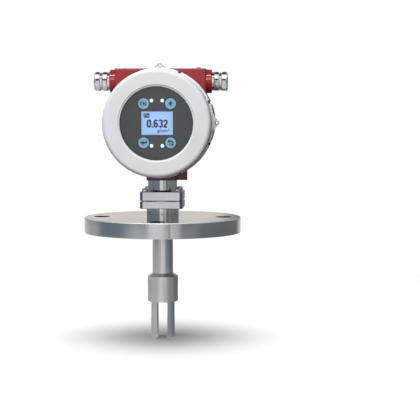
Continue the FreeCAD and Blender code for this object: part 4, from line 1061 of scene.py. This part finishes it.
class METER_OT_screws(bpy.types.Operator):
    """Makes the knurled cap screws of the square flanges and the cross-recess screw on top"""

    bl_idname = "meter.screws"
    bl_label = "Screws"

    def execute(self, context):
        self.make_cap_screws()
        self.make_top_screw()
        return {"FINISHED"}

    @staticmethod
    def make_cap_screws():
        """Cap screws: knurled round heads whose radius falls by a raised cosine 30 times a turn, with hexagon
        sockets."""
        steps, teeth, key_width, knurl_depth, shank = 240, 30, 3.0 * MM, 0.03 * MM, 2.0 * MM
        low, high = ends("flange_screws")
        radius = sizes().screw_radius
        foot, height = low[2] - PLATE_TOP, high[2] - PLATE_TOP
        knurl = radius - knurl_depth * (1 - np.cos(teeth * angles(steps)))
        socket = hexagon_radius(key_width, steps)
        rings = [(0.0, foot), (shank - 0.3 * MM, foot), (shank, foot + 0.4 * MM), (shank, 0.0),
                 (radius - 0.2 * MM, 0.0), (knurl, 0.3 * MM), (knurl, height - 0.75 * MM),
                 (radius - 0.2 * MM, height - 0.55 * MM), (radius - 0.7 * MM, height), (socket + 0.15 * MM, height),
                 (socket, height - 0.15 * MM), (socket, height / 2), (0.0, height / 2 - 0.6 * MM)]
        reach = high[0] - radius
        heads = [ring_stack(rings, (x, y, PLATE_TOP), Z_AXIS, X_AXIS, steps)
                 for x in (-reach, reach) for y in (-reach, reach)]
        piece("cap_screws", join(*heads), "meter", screw_steel(), ["flange_screws"])

    @staticmethod
    def make_top_screw():
        """Pan head: a dome whose height falls with the square of the radius, less a cross 0.9 mm wide with sloping
        walls."""
        steps, head_foot, shank, fall = 144, 4.0 * MM, 1.5 * MM, 0.62
        cross_half, cross_slope, cross_depth, cross_reach = 0.45 * MM, 0.15 * MM, 0.95 * MM, 0.66
        low, high = ends("top_screw")
        radius = half("top_screw", 0)
        seat = low[2] + head_foot
        foot = low[2] - seat
        angle = angles(steps)
        arm = np.minimum(abs(np.sin(angle)), abs(np.cos(angle)))
        rings = [(0.0, foot), (shank - 0.3 * MM, foot), (shank, foot + 0.3 * MM), (shank, 0.0), (radius, 0.0)]
        for share in np.concatenate([np.linspace(1.0, 0.72, 5), np.linspace(0.70, 0.0, 29)]):
            crown = (high[2] - seat) * (1 - fall * share ** 2)
            beside = np.clip((cross_half - arm * share * radius) / cross_slope, 0, 1)
            inside = beside * np.clip((cross_reach - share) / 0.06, 0, 1)
            rings.append((share * radius, crown - cross_depth * inside))
        place = (*middle("top_screw")[:2], seat)
        piece("conduit_screw", ring_stack(rings, place, Z_AXIS, X_AXIS, steps), "meter",
              screw_steel(), ["top_screw"])


# The display's marks, from its middle: figures, point, unit and icon
FIGURES = (("0", -9.1 * MM), ("6", -1.4 * MM), ("3", 4.0 * MM), ("2", 9.4 * MM))
FIGURE_LINE, FIGURE_WIDTH, FIGURES_UP = 0.215, 0.36, -0.4 * MM
POINT_PLACE, POINT_SIZE = -5.2 * MM, 1.8 * MM
UNIT_PLACE, UNIT_SIZE, UNIT_WEIGHT = (7.0 * MM, -8.6 * MM), (13.6 * MM, 4.4 * MM), 0.022
ICON_PLACE, ICON_SIZE, ICON_LINE = (-11.9 * MM, 8.6 * MM), (6.6 * MM, 5.0 * MM), 0.6 * MM
ICON_WAVE = np.array([(-2.3, -1.2), (-2.2, 1.1), (-1.0, 1.0), (-0.9, 0.1), (0.2, 0.0), (0.9, 1.0), (1.6, -1.0),
                      (2.4, -0.9)]) * MM

# The keys' marks: letters, their width, half height and line, an arrow's head, and the dark ring round a key
KEY_LETTERS = (("E", -2.75 * MM), ("S", 0.0), ("C", 2.75 * MM))
LETTER_WIDTH, LETTER_RISE, LETTER_LINE = 1.35 * MM, 1.6 * MM, 1.0 * MM
ARROW_HEAD = np.array([(-2.4, -0.2), (0.0, 2.6), (2.4, -0.2)]) * MM
SURROUND_GAP, SURROUND_HALF = 0.5 * MM, 0.8 * MM


class METER_OT_display(bpy.types.Operator):
    """Makes the figures on the display, the signs on the keys and the dark surrounds of the keys"""

    bl_idname = "meter.display"
    bl_label = "Display figures and key signs"

    def execute(self, context):
        depth = sizes().ink_depth
        self.make_figures(depth)
        self.make_signs(depth)
        return {"FINISHED"}

    @staticmethod
    def make_figures(depth):
        """Figures with their point and unit, and an icon: a dark field with a pale line on it."""
        height = sizes().digit_height
        line = FIGURE_LINE * height
        figures = lettering(FIGURES, FIGURE_WIDTH * height, (height - line) / 2, line, depth)
        square = rectangle(POINT_SIZE, POINT_SIZE)
        point = plaque(moved(square, POINT_PLACE, POINT_SIZE / 2 - height / 2), depth)
        unit = text_shape("g/cm³", *UNIT_SIZE, UNIT_WEIGHT, depth)
        marks = join(on_face(join(figures, point), 0.0, FIGURES_UP, SCREEN_FRONT),
                     on_face(unit, *UNIT_PLACE, SCREEN_FRONT),
                     on_face(plaque(rectangle(*ICON_SIZE), depth), *ICON_PLACE, SCREEN_FRONT))
        piece("display_figures", marks, "meter", ink("screen_ink", (0.003, 0.004, 0.022)))
        wave = on_face(pen(run(*ICON_WAVE), ICON_LINE, depth), *ICON_PLACE, SCREEN_FRONT - 0.8 * depth)
        piece("display_icon_line", wave, "meter", ink("icon_ink", (0.55, 0.72, 0.95)))

    @staticmethod
    def make_signs(depth):
        """Signs on the keys: leave, up, enter and step on, and a dark ring round each key."""
        def arrow(stretch, x, up, turn=0.0):
            """Filled arrow head, given in millimetres."""
            return plaque(moved(ARROW_HEAD * stretch, x * MM, up * MM, turn), depth)

        def block(width, height, x, up):
            """Filled rectangle, given in millimetres."""
            return plaque(moved(rectangle(width * MM, height * MM), x * MM, up * MM), depth)

        def line(path, width):
            """Pen line along a path, given in millimetres."""
            return pen(path * MM, width * MM, depth)

        signs = {
            "key_upper_left": [lettering(KEY_LETTERS, LETTER_WIDTH, LETTER_RISE, LETTER_LINE, depth)],
            "key_upper_right": [arrow(1.1, 0.0, 0.2), block(2.3, 2.6, 0.0, -1.0)],
            "key_lower_left": [arrow((0.95, 1.45), -0.4, 0.0, FULL_TURN / 4),
                               line(run((-1.0, 0.0), (3.0, 0.0), (3.0, 2.2)), 1.6)],
            "key_lower_right": [line(bow(-0.2, -1.2, 3.0, 3.0, 118, 12), 1.5), arrow(1.0, -1.2, 2.0, 1.75),
                                block(2.3, 2.1, 2.1, -2.1), line(run((-2.0, -2.4), (-0.6, -0.6)), 0.9)],
        }
        shapes, surrounds = [], []
        for node, marks in signs.items():
            x, y, z = middle(node)
            front = float(ends(node)[0][1])
            shapes += [on_face(mark, x, z - HEAD_HEIGHT, front) for mark in marks]
            surrounds.append(hoop(half(node, 0) + SURROUND_GAP, SURROUND_HALF, depth, (x, front, z), 8, 96))
        piece("key_signs", join(*shapes), "meter", ink("sign_ink", (0.005, 0.008, 0.016)))
        piece("key_surrounds", join(*surrounds), "meter", ink("surround_ink", (0.004, 0.004, 0.005)))


# Each lamp's place, aim, width and height, the one piece that takes it if there is one, and whether it shows in
# reflections
LAMPS = {
    "strip": ((-0.15, -0.80, 1.46), (0.0, 0.0, 0.15), (0.7, 0.22), None, True),
    "front": ((-0.10, -1.55, 0.86), (0.0, 0.0, 0.10), (1.8, 0.6), None, True),
    "rear": ((-0.95, 1.30, 0.55), (0.0, 0.0, 0.12), (1.2, 0.8), None, False),
    "floor": ((0.0, 0.0, 1.28), (0.0, 0.0, 0.0), (1.8, 1.8), "floor", False),
    "panel": ((0.0, -1.30, HEAD_HEIGHT), (0.0, 0.0, HEAD_HEIGHT), (0.5, 0.5), "face_plate", False),
}
# What the lamps that no one piece has to itself leave out
LEFT_OUT = ("floor", "face_plate", *BRIGHT_PIECES)
FLOOR_REACH, FLOOR_GAP = 30.0, 0.2 * MM
WALL_RADIUS, WALL_HEIGHT, WALL_STEPS = 1.15, 0.55, 180
WALL_SEAM = (-0.0775, -0.0755)


class METER_OT_studio(bpy.types.Operator):
    """Makes the floor, the light and the camera"""

    bl_idname = "meter.studio"
    bl_label = "Studio"

    def execute(self, context):
        scene = context.scene
        scene.view_settings.view_transform = "Standard"
        self.make_floor()
        self.make_world(scene)
        self.make_surround()
        for name, row in LAMPS.items():
            self.make_lamp(name + "_lamp", getattr(scene.meter_studio, name + "_power"), *row)
        self.make_camera(scene, scene.meter_studio)
        return {"FINISHED"}

    @staticmethod
    def make_floor():
        """White floor under the tines: it takes the shadow near the meter, is plain white farther off and throws
        little light back. Reflections show the stem's and the collar's boards in its place."""
        mesh = bpy.data.meshes.new("floor")
        corners = [(x, y, FLOOR_HEIGHT - FLOOR_GAP) for x, y in rectangle(2 * FLOOR_REACH, 2 * FLOOR_REACH).tolist()]
        mesh.from_pydata(corners, [], [(0, 1, 2, 3)])

        def make(finish):
            x, y, z = finish.axes()
            reach = span(x, y)
            path = finish.add("LightPath")
            seen = path.greatest(path.output("Is Transmission Ray"))
            colour = finish.mix(path.output("Is Diffuse Ray"), (0.95, 0.95, 0.95), (0.05, 0.05, 0.05))
            paper = finish.add("BsdfDiffuse", sockets={"Color": colour})
            paper = finish.mix_shaders(reach.step(0.28, 0.75) * seen, paper, finish.glow((1.0, 1.0, 1.0)))
            tones = finish.mix(reach.step(0.60, 0.68), board_tones(finish, x, y, COLLAR_BOARDS),
                               board_tones(finish, x, y, STEM_BOARDS))
            return finish.mix_shaders(path.output("Is Glossy Ray"), paper, finish.glow(tones))

        mesh.materials.append(material("floor_paper", make))
        floor = add_object("floor", mesh)

    @staticmethod
    def make_world(scene):
        """Soft light from all round: white where it is seen, dimmer on the right, and in reflections a ceiling of
        light and dark bands."""
        world = bpy.data.worlds.new("studio")
        world.use_nodes = True
        scene.world = world
        finish = Finish(world.node_tree)
        x, y, z = finish.axes(finish.add("TexCoord"))
        path = finish.add("LightPath")
        seen = path.greatest(path.output("Is Transmission Ray"))
        plain = finish.mix(z.step(-0.3, 0.9), (0.20, 0.20, 0.21), (0.40, 0.40, 0.40))
        plain = finish.mix(x.step(-0.4, 0.15), plain, (0.09, 0.09, 0.093))
        dark, light, ceiling = (0.02, 0.021, 0.023), (1.4, 1.4, 1.42), (0.95, 0.95, 0.95)
        for start, stop, band in ((0.60, 0.63, dark), (0.72, 0.76, light), (0.92, 0.97, dark)):
            ceiling = finish.mix(z.step(start, stop), ceiling, band)
        ceiling = finish.mix(y.step(0.1, 0.3) * z.step(0.4, 0.5), ceiling, (0.3, 0.3, 0.31))
        toned = finish.mix(path.output("Is Glossy Ray"), plain, ceiling)
        tone = finish.mix(seen, toned, (1.0, 1.0, 1.0))
        finish.surface(finish.add("Background", sockets={"Color": tone, "Strength": 1.0}))

    @staticmethod
    def make_surround():
        """Round wall of light and dark boards that is seen only in reflections: point (t, h) stands at radius R and
        angle t round the stem, h above the floor."""
        rings = [(WALL_RADIUS, FLOOR_HEIGHT), (WALL_RADIUS, FLOOR_HEIGHT + WALL_HEIGHT)]
        points, faces = ring_stack(rings, (0, 0, 0), Z_AXIS, X_AXIS, WALL_STEPS)
        mesh = bpy.data.meshes.new("surround")
        mesh.from_pydata(points.tolist(), [], faces.tolist())
        wall = add_object("surround", mesh)
        wall.visible_camera = wall.visible_diffuse = wall.visible_shadow = wall.visible_transmission = False

        def make(finish):
            x, y, z = finish.axes()
            return finish.glow(finish.mix(z.step(*WALL_SEAM), board_tones(finish, x, y, RIM_BOARDS),
                                          board_tones(finish, x, y, NECK_BOARDS)))

        mesh.materials.append(material("surround_boards", make))

    @staticmethod
    def make_lamp(name, power, place, aim, size, taker, mirrored):
        """Wide soft lamp that looks at a point, for one taker or for all but what is left out."""
        light = bpy.data.lights.new(name, "AREA")
        light.shape = "RECTANGLE"
        light.size, light.size_y = size
        light.energy = power
        lamp = add_object(name, light)
        lamp.location = place
        lamp.rotation_euler = (Vector(aim) - Vector(place)).to_track_quat("-Z", "Y").to_euler()
        lamp.visible_glossy = mirrored
        takers = bpy.data.collections.new("takers_of_" + name)
        lamp.light_linking.receiver_collection = takers
        for index, listed in enumerate([taker] if taker else LEFT_OUT):
            takers.objects.link(bpy.data.objects[listed])
            takers.collection_objects[index].light_linking.link_state = "INCLUDE" if taker else "EXCLUDE"

    @staticmethod
    def make_camera(scene, studio):
        """Camera at the photograph's angle."""
        lens = bpy.data.cameras.new("camera")
        lens.lens = studio.lens
        lens.sensor_width = 36.0
        lens.clip_start, lens.clip_end = 0.05, 100.0
        camera = add_object("camera", lens)
        camera.location = studio.camera_place
        camera.rotation_euler = (math.radians(90) - studio.camera_dip, 0.0, studio.camera_heading)
        scene.camera = camera


STEPS = (METER_OT_finishes, METER_OT_glands, METER_OT_ears, METER_OT_threads, METER_OT_screws, METER_OT_display,
         METER_OT_studio)


class METER_PT_panel(bpy.types.Panel):
    """Lists the steps that make the meter"""

    bl_idname = "METER_PT_panel"
    bl_label = "Density Meter"
    bl_space_type = "VIEW_3D"
    bl_region_type = "UI"
    bl_category = "Meter"

    def draw(self, context):
        for step in STEPS:
            self.layout.operator(step.bl_idname)
        for group in (context.scene.meter_sizes, context.scene.meter_colours, context.scene.meter_studio):
            box = self.layout.box()
            for name in group.__annotations__:
                box.prop(group, name)


CLASSES = (MeterSizes, MeterColours, MeterStudio, *STEPS, METER_PT_panel)


def register():
    """Registers the classes and their settings."""
    for cls in CLASSES:
        bpy.utils.register_class(cls)
    bpy.types.Scene.meter_sizes = PointerProperty(type=MeterSizes)
    bpy.types.Scene.meter_colours = PointerProperty(type=MeterColours)
    bpy.types.Scene.meter_studio = PointerProperty(type=MeterStudio)


def unregister():
    """Takes the classes and their settings away again."""
    del bpy.types.Scene.meter_sizes, bpy.types.Scene.meter_colours, bpy.types.Scene.meter_studio
    for cls in reversed(CLASSES):
        bpy.utils.unregister_class(cls)


def main():
    """Makes the meter step by step."""
    register()
    for step in STEPS:
        group, name = step.bl_idname.split(".")
        getattr(getattr(bpy.ops, group), name)()


if __name__ == "__main__":
    main()
